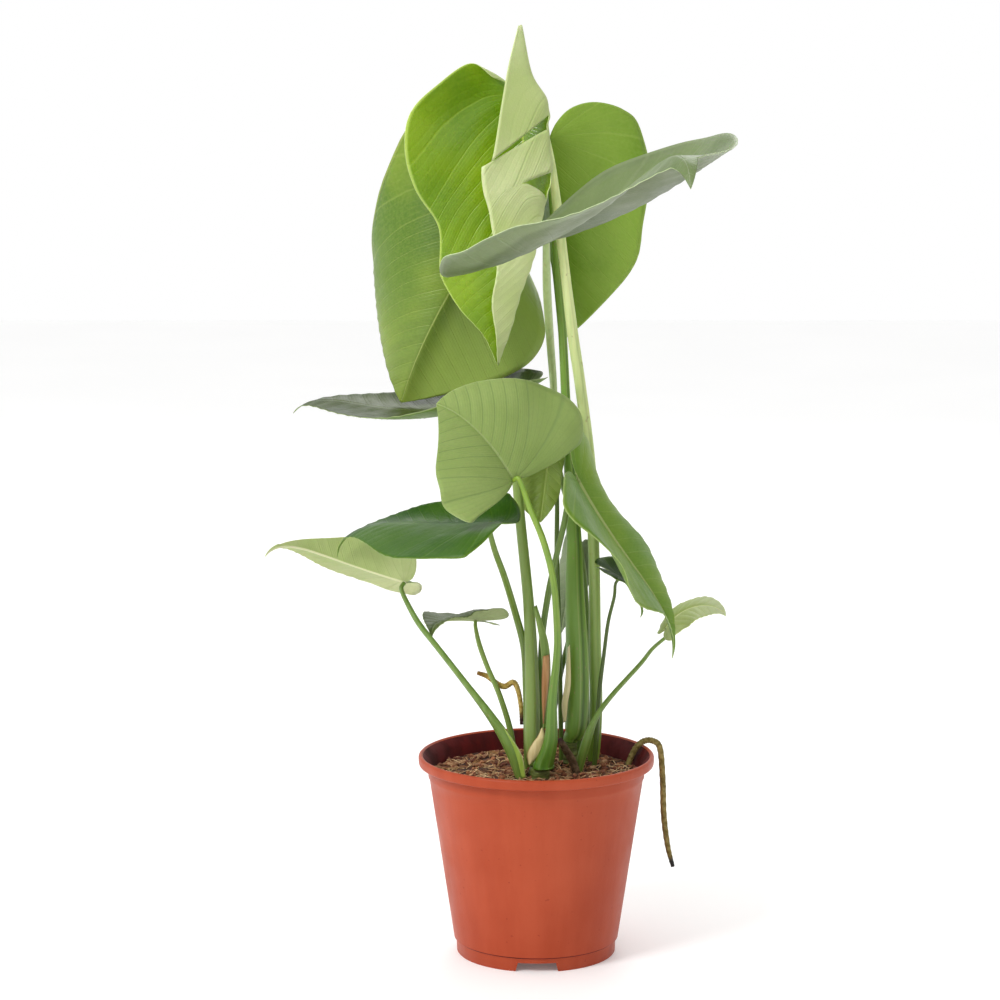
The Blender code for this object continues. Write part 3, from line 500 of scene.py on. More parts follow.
PETIOLE_LOOKS = {
    "back_left": stalk((107, 140, 68), (130, 162, 82)),
    "back_right": stalk((108, 142, 62), (130, 164, 72), 42, 0.3, 0.6),
    "unfurling": stalk((122, 154, 64), (238, 246, 180), 30, 0.12),
    "slanted_top": stalk((104, 128, 66), (166, 184, 124)),
    "dark_side": stalk((124, 146, 76), (142, 164, 90), 52, 0.22),
    "centre": stalk((84, 120, 42), (146, 176, 76), 0, 0.1, swell=0.75),
    "glossy_left": stalk((104, 128, 58), (116, 140, 66)),
    "low_left": stalk((114, 142, 68), (106, 132, 66), -60, 0.2),
    "small_left": stalk((120, 146, 66), (138, 160, 84)),
    "right_drooping": stalk((96, 122, 56), (108, 134, 62)),
    "shaded": stalk((90, 112, 52), (100, 124, 58)),
    "hidden_lower": stalk((84, 106, 50), (96, 118, 56)),
    "small_right_dark": stalk((80, 100, 48), (92, 112, 56)),
    "low_right": stalk((114, 144, 66), (122, 146, 78), 40, 0.2),
}
ROOT_LOOKS = {
    "curled_root": dict(dark=(162, 132, 64), light=(206, 178, 104), tip=(150, 112, 62), tip_from=0.86,
        foot=(70, 36, 38), foot_to=0.16),
    "rim_root": dict(dark=(110, 96, 52), light=(152, 136, 84), tip=(36, 28, 22), tip_from=0.93,
        foot=(96, 82, 52), foot_to=0.1),
    "stub_root": dict(dark=(84, 66, 46), light=(122, 100, 76), tip=(70, 48, 36), tip_from=0.8,
        foot=(64, 48, 36), foot_to=0.2),
}
# Sheaths and scars at the foot of the stalks: name, left edge, right edge, dark, light and edge
# tones; the edges run upwards as (x, y, z)
SHEATHS = (
    ("tall_sheath_wing", ((4.5, -20, 168), (4.2, -19, 200), (2.5, -18, 228), (-2.6, -17, 256)),
        ((9.5, -16, 168), (10, -16, 200), (8.6, -16, 228), (0, -16, 257)), (116, 142, 72),
        (136, 160, 86), (160, 178, 104)),
    ("sheath_scar", ((4.5, -21, 172), (3.5, -21.5, 190), (3.5, -21.5, 206), (4.2, -21, 221)),
        ((5.2, -20, 172), (7.4, -20.5, 190), (9, -20.5, 206), (9.2, -20, 222)), (168, 120, 76),
        (206, 160, 112), (118, 86, 52)),
    ("cream_opening", ((-5.8, -25, 143), (-7, -26, 151), (-3.4, -26, 158.5), (0.6, -26, 164),
        (3.4, -25, 170)), ((-4.6, -25, 143), (2.5, -26, 151), (4.8, -26, 158.5), (6, -26, 164),
        (4.4, -25, 170)), (204, 186, 132), (226, 210, 160), (142, 112, 66)),
    ("left_foot_sheath", ((-12, -24, 133), (-21, -25, 152), (-27, -26, 165), (-31, -26, 176)),
        ((-7.5, -26, 133), (-10.5, -27, 150), (-20, -27, 166), (-30, -26, 178)), (150, 180, 74),
        (168, 194, 92), (206, 212, 150)),
    ("dry_sheath_edge", ((19.6, 9, 166), (18.4, 8, 180), (20.6, 7, 196), (22.6, 8, 222)),
        ((22, 8, 168), (23, 5, 182), (25, 5, 197), (24.2, 6, 224)), (206, 192, 136), (228, 218, 168),
        (160, 142, 92)),
)


def between(low, high, share):
    return low + (high - low) * share


def spline_through(points, samples):
    """A smooth curve through the points: rows of coordinates, at even steps between points."""
    known = np.asarray(points, float)
    padded = np.vstack([2 * known[0] - known[1], known, 2 * known[-1] - known[-2]])
    spans = len(known) - 1
    place = np.linspace(0, spans, samples)
    index = np.minimum(place.astype(int), spans - 1)
    part = (place - index)[:, None]
    a, b, c, d = (padded[index + k] for k in range(4))
    return 0.5 * (2 * b + (c - a) * part + (2 * a - 5 * b + 4 * c - d) * part ** 2
                  + (3 * b - a - 3 * c + d) * part ** 3)


def inner_radius(height):
    """Inside radius of the pot's tapered wall at a height."""
    share = (height - FOOT_HEIGHT) / (POT_HEIGHT - LIP_HEIGHT - FOOT_HEIGHT)
    return between(BODY_BASE_RADIUS, NECK_RADIUS, share) - WALL


def soil_height(x, y):
    """Lumps of the soil's surface above SOIL_TOP, flat at the wall."""
    edge = max(0.0, 1.0 - ((x * x + y * y) ** 0.5 / inner_radius(SOIL_TOP)) ** 4)
    broad = sin(0.11 * x + 1.0) * cos(0.09 * y - 0.4)
    small = sin(0.23 * y + 0.17 * x)
    return edge * (SOIL_MOUND + LUMPS[0] * broad + LUMPS[1] * small)


def midrib_frames(leaf, along):
    """Points of the midrib and its sideways and upward directions, at distances from the junction."""
    length = leaf["size"][0]
    behind, ahead = MIDRIB_REACH
    reach = np.linspace(-behind * max(leaf["size"][1:]) - 1, ahead * length, MIDRIB_SAMPLES)
    share = reach / length
    arch, hook, sway = leaf["bend"]
    pitch = np.radians(leaf["way"][1] + arch * share + hook * np.clip(share, 0, None) ** HOOK_POWER)
    heading = np.radians(leaf["way"][0] + sway * share)
    roll = np.radians(leaf["turn"][0] + leaf["turn"][1] * share)[:, None]
    tangent = np.stack([np.cos(pitch) * np.cos(heading), np.cos(pitch) * np.sin(heading),
                        np.sin(pitch)], 1)
    steps = (tangent[1:] + tangent[:-1]) / 2 * np.diff(reach)[:, None]
    middle = np.vstack([[0, 0, 0], np.cumsum(steps, 0)])
    level = np.stack([np.sin(heading), -np.cos(heading), 0 * heading], 1)
    above = np.cross(level, tangent)
    side = np.cos(roll) * level + np.sin(roll) * above
    up = np.cos(roll) * above - np.sin(roll) * level

    def at(rows, places):
        return np.stack([np.interp(places, reach, rows[:, k]) for k in range(3)], 1)

    start = at(middle, np.zeros(1))
    return at(middle, along) - start + np.array(leaf["at"], float), at(side, along), at(up, along)


def blade_points(leaf, along, across):
    """Points of the blade's middle surface; across is negative on the left half."""
    middle, side, up = midrib_frames(leaf, along)
    right = across > 0
    width = np.where(right, leaf["width"][1], leaf["width"][0])
    fold = np.radians(np.where(right, leaf["fold"][1], leaf["fold"][0]))
    curl = np.radians(np.where(right, leaf["curl"][1], leaf["curl"][0])) / width
    away = np.abs(across)
    out = (np.sin(fold + curl * away) - np.sin(fold)) / curl * np.sign(across)
    rise = (np.cos(fold) - np.cos(fold + curl * away)) / curl
    height, phase = leaf["wave"]
    turns = WAVES * (along - WAVE_LAG * away) / leaf["size"][0]
    ripple = np.sin(np.radians(phase * np.sign(across)) + tau * turns)
    rise = rise + height * (away / width) ** 2 * ripple
    return middle + side * out[:, None] + up * rise[:, None]


def half_outline(leaf, side, samples):
    """Margin of one half as flat (along, across) points; side is 1 for the right half."""
    lobe = leaf["size"][2] if side > 0 else leaf["size"][1]
    width = leaf["width"][1] if side > 0 else leaf["width"][0]
    widest, fullness, slimness = leaf["shape"]
    points = [(share * lobe, reach * width * side) for share, reach in LOBE]
    for step in BLADE_STEPS:
        reach = max(0.0, cos(pi / 2 * step ** fullness)) ** slimness
        points.append(((widest + (1 - widest) * step) * leaf["size"][0], reach * width * side))
    return spline_through(points, samples)


# Fine meshes


def spot(points):
    """Places in metres in the frame, from millimetres from the pot's axis."""
    return (np.asarray(points, float) + (AXIS_X, AXIS_Y, 0)) * MM


def ride(thing, node=None):
    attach(thing, "root")
    if node:
        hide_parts(node)


def new_piece(name, mesh, materials):
    thing = bpy.data.objects.new(name, mesh)
    bpy.context.scene.collection.objects.link(thing)
    for material in materials:
        mesh.materials.append(material)
    mesh.shade_smooth()
    return thing


def surface(name, points, layers, round_about=False, left_out=()):
    """A mesh over a grid of points; layers are named grids of flat coordinates for its looks.

    With round_about the last column joins the first one. left_out lists faces as (row, column).
    """
    rows, columns = points.shape[:2]
    spans = columns if round_about else columns - 1
    faces = []
    corners = []
    for k in range(rows - 1):
        for j in range(spans):
            if (k, j) in left_out:
                continue
            after = (j + 1) % columns
            faces.append((k * columns + j, (k + 1) * columns + j, (k + 1) * columns + after,
                          k * columns + after))
            corners += [(k, j), (k + 1, j), (k + 1, j + 1), (k, j + 1)]
    mesh = bpy.data.meshes.new(name)
    mesh.from_pydata(spot(points.reshape(-1, 3)).tolist(), [], faces)
    place = np.array(corners)
    for layer, grid in layers.items():
        flat = mesh.uv_layers.new(name=layer)
        flat.data.foreach_set("uv", grid[place[:, 0], place[:, 1]].ravel())
    return mesh


def mend(mesh, caps=False, face_towards=None):
    """Merges the points that fall together and gives the mesh its caps and its right face."""
    work = bmesh.new()
    work.from_mesh(mesh)
    bmesh.ops.remove_doubles(work, verts=work.verts, dist=MERGE_DISTANCE)
    if caps:
        bmesh.ops.holes_fill(work, edges=[edge for edge in work.edges if edge.is_boundary])
        bmesh.ops.recalc_face_normals(work, faces=work.faces)
    if face_towards is not None:
        work.normal_update()
        place, direction = (Vector(row) for row in face_towards)
        nearest = min(work.faces, key=lambda face: (face.calc_center_median() - place).length)
        if nearest.normal.dot(direction) < 0:
            bmesh.ops.reverse_faces(work, faces=work.faces)
    work.to_mesh(mesh)
    work.free()


def ring_mesh(name, points, layers):
    """A closed mesh from rings of points."""
    mesh = surface(name, points, layers, round_about=True)
    mend(mesh, caps=True)
    return mesh


def mesh_from(name, work):
    mesh = bpy.data.meshes.new(name)
    work.to_mesh(mesh)
    work.free()
    return mesh


def raise_by(mesh, heights):
    """Moves each point along its normal; heights is a function of the mesh's flat coordinates."""
    flat = mesh.uv_layers["flat"].data
    along = np.zeros(len(mesh.vertices))
    across = np.zeros(len(mesh.vertices))
    for loop in mesh.loops:
        along[loop.vertex_index], across[loop.vertex_index] = flat[loop.index].uv
    lifts = heights(along / MM, across / MM)
    normals = [tuple(vertex.normal) for vertex in mesh.vertices]
    for vertex, normal, lift in zip(mesh.vertices, normals, lifts):
        vertex.co += Vector(normal) * float(lift) * MM


# Leaves


def vein_phase(along, across, spacing):
    """Counts the side veins, whole numbers lie on one: they leave the midrib ahead of the
    junction and fan out from it into the lobes."""
    away = np.abs(across)
    forward = along - VEIN_BEND * away ** 2
    ahead = (forward - VEIN_SLOPE * away) / spacing
    fan = -LOBE_VEINS * (np.arctan2(away, forward) - atan2(1, VEIN_SLOPE))
    return np.where(ahead > 0, ahead, fan)


def leaf_relief(spacing):
    def heights(along, across):
        away = np.abs(across)
        channel = -RIB_DEPTH * np.exp(-(away / RIB_HALF_WIDTH) ** 2)
        quilt = -QUILT * np.cos(tau * vein_phase(along, across, spacing))
        return channel + quilt * np.clip(away / QUILT_START, 0, 1)
    return heights


def open_sheet(name, leaf):
    length = leaf["size"][0]
    count = LEAF_ROWS if length > SMALL_BLADE else SMALL_LEAF_ROWS
    margins = {side: half_outline(leaf, side, count + 1) for side in (-1, 1)}
    for side, margin in margins.items():
        left = np.clip(1 - margin[:, 0] / length, 0, DRIP_SHARE)
        least = DRIP_TIPS.get(name, 0) * (left / DRIP_SHARE) ** DRIP_POWER
        late = margin[:, 0] > length * (1 - DRIP_SHARE)
        margin[late, 1] = side * np.maximum(np.abs(margin[late, 1]), least[late])
    even = np.linspace(-1, 1, 2 * LEAF_COLUMNS + 1)
    shares = np.sign(even) * np.abs(even) ** COLUMN_POWER
    rows, columns = np.meshgrid(np.linspace(0, 1, count + 1), shares, indexing="ij")
    share = np.abs(columns)
    margin = np.where((columns < 0)[..., None], margins[-1][:, None, :], margins[1][:, None, :])
    spine = length * np.clip((rows - LOBE_ROWS) / (1 - LOBE_ROWS), 0, None) ** ROW_POWER
    along = spine + (margin[..., 0] - spine) * share
    across = margin[..., 1] * share
    points = blade_points(leaf, along.ravel(), across.ravel()).reshape(*rows.shape, 3)
    layers = {"flat": np.stack([along, across], -1) * MM, "share": np.stack([rows, share], -1)}
    mesh = surface(name, points, layers)
    middle, _, up = midrib_frames(leaf, np.array([length * 0.5]))
    mend(mesh, face_towards=(spot(middle)[0], up[0]))
    return mesh


def close_split(points, split, turn):
    """Draws the rows below a split up to it at the free margin, so that it is a wedge that
    opens towards the turn."""
    top = points[split * ROLL_ROWS].copy()
    start = (split + 1) * ROLL_ROWS
    shares = np.clip((np.arange(ROLL_COLUMNS + 1) - turn) / (ROLL_COLUMNS - turn), 0, 1)
    pull = np.minimum(1, shares / WEDGE)
    for step in range(CLOSING_ROWS):
        fade = 1 - step / CLOSING_ROWS
        row = points[start + step]
        row += (top - row) * (pull * fade)[:, None]


def unfurling_sheet(name):
    sections = np.array([spline_through(section, ROLL_COLUMNS + 1) for section in UNFURLING_SECTIONS])
    tip = np.broadcast_to(np.array(UNFURLING_TIP, float), sections[:1].shape)
    sections = np.concatenate([sections, tip])
    count = (len(sections) - 1) * ROLL_ROWS + 1
    points = np.stack([spline_through(sections[:, j], count) for j in range(ROLL_COLUMNS + 1)], 1)
    midrib = ROLL_COLUMNS // 2
    steps = np.linalg.norm(np.diff(points, axis=1), axis=2)
    across = np.concatenate([np.zeros((count, 1)), np.cumsum(steps, 1)], 1)
    across = across - across[:, midrib:midrib + 1]
    down = np.linalg.norm(np.diff(points[:, midrib], axis=0), axis=1)
    along = np.concatenate([[0], np.cumsum(down)])
    along = np.repeat((along - along[ROLL_ROWS])[:, None], ROLL_COLUMNS + 1, 1)
    share = np.abs(np.linspace(-1, 1, ROLL_COLUMNS + 1))[None, :].repeat(count, 0)
    rows = np.linspace(0, 1, count)[:, None].repeat(ROLL_COLUMNS + 1, 1)
    turn = UNFURLING_TURN * ROLL_COLUMNS // UNFURLING_ACROSS
    left_out = {(split * ROLL_ROWS + step, j) for split in SPLITS for step in range(ROLL_ROWS)
                for j in range(turn, ROLL_COLUMNS)}
    close_split(points, SPLITS[-1], turn)
    layers = {"flat": np.stack([along, across], -1) * MM, "share": np.stack([rows, share], -1)}
    mesh = surface(name, points, layers, left_out=left_out)
    mend(mesh, face_towards=(spot(UNFURLING_SECTIONS[UNFURLING_MIDDLE][1]), (0, -1, 0)))
    return mesh


def thicken(thing, thickness, offset):
    solidify = thing.modifiers.new("thickness", "SOLIDIFY")
    solidify.thickness = thickness * MM
    solidify.offset = offset
    return solidify


def add_leaf(name):
    upper, under, margin, spacing = LEAF_LOOKS[name]
    mesh = open_sheet(name, LEAVES[name]) if name in LEAVES else unfurling_sheet(name)
    raise_by(mesh, leaf_relief(spacing))
    materials = [blade_look(name + "_upper", spacing, upper), blade_look(name + "_under", spacing, under),
                 plain_look(name + "_margin", margin)]
    thing = new_piece(name + "_blade", mesh, materials)
    solidify = thicken(thing, LEAF_THICKNESS, 0.0)
    solidify.material_offset = 1
    solidify.material_offset_rim = 2
    ride(thing, name + "_leaf")


# Petioles, stems and roots


def tube_frames(route):
    tangent = np.gradient(route[:, :3], axis=0)
    tangent /= np.linalg.norm(tangent, axis=1)[:, None]
    side = np.cross(tangent, (0.0, -1.0, 0.0))
    side /= np.linalg.norm(side, axis=1)[:, None]
    front = np.cross(side, tangent)
    return side, front


def tube(name, points, shape, density=ROUTE_DENSITY, sides=TUBE_SIDES):
    """A closed tube; shape(angle, share) scales its radius, with angle 0 towards the viewer."""
    route = spline_through(points, density * len(points))
    side, front = tube_frames(route)
    angle = np.linspace(0, tau, sides, endpoint=False)
    share = np.linspace(0, 1, len(route))
    scale = shape(angle[None, :], share[:, None]) * route[:, 3:4]
    points = (route[:, None, :3] + side[:, None, :] * (np.sin(angle) * scale)[..., None]
              + front[:, None, :] * (np.cos(angle) * scale)[..., None])
    length = np.concatenate([[0], np.cumsum(np.linalg.norm(np.diff(route[:, :3], axis=0), axis=1))])
    turns = np.linspace(0, 1, sides + 1)
    flat = np.stack(np.broadcast_arrays(length[:, None] * MM, turns[None, :] * TURN_SCALE), -1)
    shares = np.stack(np.broadcast_arrays(share[:, None], turns[None, :]), -1)
    return ring_mesh(name, points, {"flat": flat, "share": shares})


def grooved(angle, share, place, depth):
    """A groove along the tube at an angle, deepest at the foot and gone at the top."""
    away = np.angle(np.exp(1j * (angle - radians(place))))
    fade = np.clip(GROOVE_END - share, 0, 1)
    return 1 - depth * np.exp(-(away / GROOVE_WIDTH) ** 2) * fade


def petiole_route(name):
    """The petiole's route up to the junction itself, where it grows into the blade."""
    if name == "unfurling":
        junction = np.array(UNFURLING_JUNCTION, float)
        up = np.array(UNFURLING_UP, float)
    else:
        middle, _, upward = midrib_frames(LEAVES[name], np.zeros(1))
        junction, up = middle[0], upward[0]
    if name in SEEN_FROM_BELOW:
        up = -up
    radius = PETIOLES[name][-1][3]
    knee = junction - up * (KNEE + radius)
    end = junction - up * KNEE_GAP
    return PETIOLES[name][:-1] + ((*knee, radius), (*end, radius * KNEE_END))


def add_petiole(name):
    looks = PETIOLE_LOOKS[name]

    def shape(angle, share):
        swelling = 1 + looks["swell"] * np.exp(-((share - SWELL_PLACE) / SWELL_LENGTH) ** 2)
        return swelling * grooved(angle, share, looks["groove"], looks["depth"])

    mesh = tube(name + "_stalk", petiole_route(name), shape)
    thing = new_piece(name + "_stalk", mesh, [stalk_look(name + "_stalk", looks)])
    ride(thing, name + "_petiole")


def add_sheath(name, left, right, material):
    """A thin leaf-like sheet between two edges, bowed towards the viewer."""
    edges = [spline_through(edge, SHEATH_ROWS)[:, None, :] for edge in (left, right)]
    rows, shares = np.meshgrid(np.linspace(0, 1, SHEATH_ROWS), np.linspace(0, 1, SHEATH_COLUMNS),
                               indexing="ij")
    points = edges[0] * (1 - shares[..., None]) + edges[1] * shares[..., None]
    points[..., 1] -= SHEATH_BOW * np.sin(pi * shares)
    mesh = surface(name, points, {"share": np.stack([rows, shares], -1)})
    mend(mesh, face_towards=(spot(points[SHEATH_ROWS // 2, SHEATH_COLUMNS // 2]), (0, -1, 0)))
    thing = new_piece(name, mesh, [material])
    thicken(thing, SHEATH_THICKNESS, -1.0)
    ride(thing)


def wrinkled(angle, share, seed, size, rings):
    bend = np.sin(angle * 3 + share * 9 + seed) + 0.6 * np.sin(angle * 5 - share * 14 + 2 * seed)
    return 1 + size * 0.5 * bend + size * 0.6 * np.sin(rings * tau * share + np.sin(angle + seed))


def add_stem(name, seed):
    mesh = tube(name + "_bark", STEMS[name],
                lambda angle, share: wrinkled(angle, share, seed, *STEM_WRINKLES))
    thing = new_piece(name + "_bark", mesh, [stem_look(name + "_bark")])
    ride(thing, name)


def add_root(name, seed):
    looks = ROOT_LOOKS[name]
    mesh = tube(name + "_skin", ROOTS[name],
                lambda angle, share: wrinkled(angle, share, seed, *ROOT_WRINKLES), ROOT_DENSITY)
    thing = new_piece(name + "_skin", mesh, [root_look(name + "_skin", looks)])
    ride(thing, name)


# Pot


def fine_profile():
    """The wall's outline with a round bead at the lip; its outer side runs downwards."""
    lip_base = POT_HEIGHT - LIP_HEIGHT
    shoulder_radius = inner_radius(SHOULDER_Z) + WALL
    bead = spline_through([(RIM_RADIUS - inwards, POT_HEIGHT - down) for inwards, down in LIP_BEAD],
                          BEAD_POINTS)
    outside = [(NECK_RADIUS, lip_base - NECK_DROP)]
    outside += [(shoulder_radius + out, SHOULDER_Z + up) for out, up in SHOULDER_STEPS]
    outside += [(between(BODY_BASE_RADIUS, shoulder_radius, share), between(*WALL_SPAN, share))
                for share in np.linspace(WALL_START, 0, WALL_ROWS)]
    outside += [(FOOT_RADIUS + out, up) for out, up in FOOT_STEPS]
    foot_inside = FOOT_RADIUS - FOOT_WALL
    underside = [(foot_inside, 0.0), (foot_inside - FOOT_TAPER, FLOOR_UNDERSIDE),
                 (FLOOR_CENTRE, FLOOR_UNDERSIDE)]
    inside = [(FLOOR_CENTRE, FLOOR_TOP), (inner_radius(FLOOR_TOP) - FLOOR_MARGIN, FLOOR_TOP)]
    inside += [(inner_radius(up), up) for up in (FLOOR_TOP + FLOOR_FILLET, WALL_MIDDLE, lip_base)]
    return [tuple(row) for row in bead] + outside + underside + inside


def turned_mesh(name, profile, steps):
    """A closed ring-shaped mesh: the profile turned about the pot's axis."""
    angle = np.linspace(0, tau, steps, endpoint=False)
    ring = np.array(profile + profile[:1])
    points = np.stack([ring[:, :1] * np.cos(angle), ring[:, :1] * np.sin(angle),
                       np.repeat(ring[:, 1:], steps, 1)], -1)
    return ring_mesh(name, points, {})


def box_cutter(name, angle):
    work = bmesh.new()
    bmesh.ops.create_cube(work, size=1.0)
    for vertex in work.verts:
        flare = NOTCH_FLARE if vertex.co.z < 0 else 1.0
        across = vertex.co.y * NOTCH_WIDTH * flare
        out = FOOT_RADIUS - FOOT_WALL / 2 + vertex.co.x * NOTCH_DEPTH
        vertex.co = Vector(spot((out * cos(angle) - across * sin(angle),
                                 out * sin(angle) + across * cos(angle),
                                 vertex.co.z * 2 * NOTCH_HEIGHT)))
    bmesh.ops.recalc_face_normals(work, faces=work.faces)
    return mesh_from(name, work)


def hole_cutter(name, angle):
    work = bmesh.new()
    bmesh.ops.create_cone(work, cap_ends=True, segments=HOLE_SIDES, radius1=DRAIN_RADIUS * MM,
                          radius2=DRAIN_RADIUS * MM, depth=DRAIN_DEPTH * MM)
    middle = (DRAIN_CIRCLE * cos(angle), DRAIN_CIRCLE * sin(angle), (FLOOR_UNDERSIDE + FLOOR_TOP) / 2)
    for vertex in work.verts:
        vertex.co += Vector(spot(middle))
    return mesh_from(name, work)


def cut_away(thing, mesh):
    cutter = bpy.data.objects.new("cutter", mesh)
    bpy.context.scene.collection.objects.link(cutter)
    cut = thing.modifiers.new("cut", "BOOLEAN")
    cut.operation = "DIFFERENCE"
    cut.object = cutter
    bpy.context.view_layer.update()
    graph = bpy.context.evaluated_depsgraph_get()
    done = bpy.data.meshes.new_from_object(thing.evaluated_get(graph))
    thing.modifiers.clear()
    thing.data = done
    bpy.data.objects.remove(cutter, do_unlink=True)


def add_pot():
    mesh = turned_mesh("pot_shell", fine_profile(), FINE_POT_STEPS)
    thing = new_piece("pot_shell", mesh, [pot_look()])
    for k in range(NOTCHES):
        cut_away(thing, box_cutter("notch", -pi / 2 + k * tau / NOTCHES))
    for k in range(DRAIN_HOLES):
        cut_away(thing, hole_cutter("hole", radians(DRAIN_TURN) + k * tau / DRAIN_HOLES))
    # The inside faces and the floor get a second material with painted shade
    thing.data.materials.append(inside_shade_look())
    axis = Vector((AXIS_X, AXIS_Y, 0)) * MM
    for polygon in thing.data.polygons:
        out = (polygon.center - axis) / MM
        radius = (out.x ** 2 + out.y ** 2) ** 0.5
        outwards = (polygon.normal.x * out.x + polygon.normal.y * out.y) / radius
        on_floor = abs(out.z - FLOOR_TOP) < NEAR_FLOOR
        inside = FLOOR_TOP - NEAR_FLOOR < out.z < POT_HEIGHT - LIP_TOP
        if inside and (outwards < FACING_IN or on_floor):
            polygon.material_index = 1
    thing.data.shade_smooth()
    thing.data.set_sharp_from_angle(angle=radians(SHARP_ANGLE))
    ride(thing, "pot")


# Soil


def ground(x, y):
    """Height of the soil's surface with its crumbs."""
    reach = (x * x + y * y) ** 0.5 / inner_radius(SOIL_TOP)
    crumbs = noise.fractal(Vector((x, y, 3.0)) * CRUMB_SCALE, *CRUMB_NOISE)
    return SOIL_TOP + soil_height(x, y) + CRUMB_HEIGHT * crumbs * (1 - WALL_CALM * reach ** 6)


def add_soil():
    top = inner_radius(SOIL_TOP) + SOIL_OVERLAP
    low = inner_radius(FLOOR_TOP + SOIL_CHAMFER) - GAP
    angle = np.linspace(0, tau, GROUND_STEPS, endpoint=False)
    rings = [(radius, None) for radius in np.linspace(0, top, GROUND_RINGS)]
    rings += [(low, FLOOR_TOP + SOIL_CHAMFER), (low - SOIL_EDGE, FLOOR_TOP + GAP),
              (0, FLOOR_TOP + GAP)]
    points = []
    for radius, height in rings:
        places = [(radius * cos(turn), radius * sin(turn)) for turn in angle]
        points.append([(x, y, ground(x, y) if height is None else height) for x, y in places])
    mesh = ring_mesh("soil_bed", np.array(points), {})
    ride(new_piece("soil_bed", mesh, [soil_look()]), "soil")


def random_spot(rng, reach=1.0):
    radius = (inner_radius(SOIL_TOP) - WALL_ROOM) * reach * rng.random() ** 0.5
    angle = rng.random() * tau
    return radius * cos(angle), radius * sin(angle)


def scatter(name, count, seed, sizes, material):
    """Crumbs or chips: rough little lumps that lie on the soil. sizes are the least and greatest
    length, and the least and greatest height as a share of it."""
    rng = np.random.default_rng(seed)
    work = bmesh.new()
    for _ in range(count):
        x, y = random_spot(rng)
        size = between(sizes[0], sizes[1], rng.random() ** 2)
        flat = between(sizes[2], sizes[3], rng.random())
        lump = bmesh.ops.create_icosphere(work, subdivisions=1, radius=1.0)["verts"]
        heading = Matrix.Rotation(rng.random() * tau, 3, "Z")
        turn = heading @ Matrix.Rotation((rng.random() - 0.5) * LUMP_TILT, 3, "X")
        middle = Vector((x, y, ground(x, y) + size * flat * LUMP_LIFT))
        for vertex in lump:
            rough = 1 + LUMP_ROUGHNESS * (rng.random() - 0.5)
            own = Vector((vertex.co.x, vertex.co.y * LUMP_WIDTH, vertex.co.z * flat)) * size * rough
            vertex.co = Vector(spot(turn @ own + middle))
    thing = new_piece(name, mesh_from(name, work), [material])
    thing.data.set_sharp_from_angle(angle=radians(LUMP_SHARP))
    ride(thing)


def add_fibres(name, count, seed, lengths, radii, material):
    """Strands of coir that lie and stick out of the soil."""
    rng = np.random.default_rng(seed)
    work = bmesh.new()
    for _ in range(count):
        x, y = random_spot(rng, FIBRE_REACH)
        heading = rng.random() * tau
        length = between(*lengths, rng.random() ** 2)
        radius = between(*radii, rng.random())
        points = []
        for step in np.linspace(0, 1, FIBRE_POINTS):
            px = x + cos(heading) * length * (step - 0.5)
            py = y + sin(heading) * length * (step - 0.5)
            reach = (px * px + py * py) ** 0.5 / (inner_radius(SOIL_TOP) - WALL_ROOM)
            if reach > 1:
                px, py = px / reach, py / reach
            bow = sin(pi * step) * length * FIBRE_BOW * rng.random()
            points.append((px, py, ground(px, py) + FIBRE_LIFT + bow, radius))
            heading += (rng.random() - 0.5) * FIBRE_TURN
        strand = tube("strand", points, lambda angle, share: 1 + 0 * angle * share, FIBRE_DENSITY,
                      FIBRE_SIDES)
        work.from_mesh(strand)
        bpy.data.meshes.remove(strand)
    ride(new_piece(name, mesh_from(name, work), [material]))


# Looks


def linear(value):
    share = value / 255
    return share / 12.92 if share <= 0.04045 else ((share + 0.055) / 1.055) ** 2.4


def tone(red, green, blue):
    """The surface's own colour for one that is seen as 0 to 255 in the studio's light."""
    own = [max(DARKEST, (linear(value) - SHINE) / LIGHT) for value in (red, green, blue)]
    return (*own, 1)


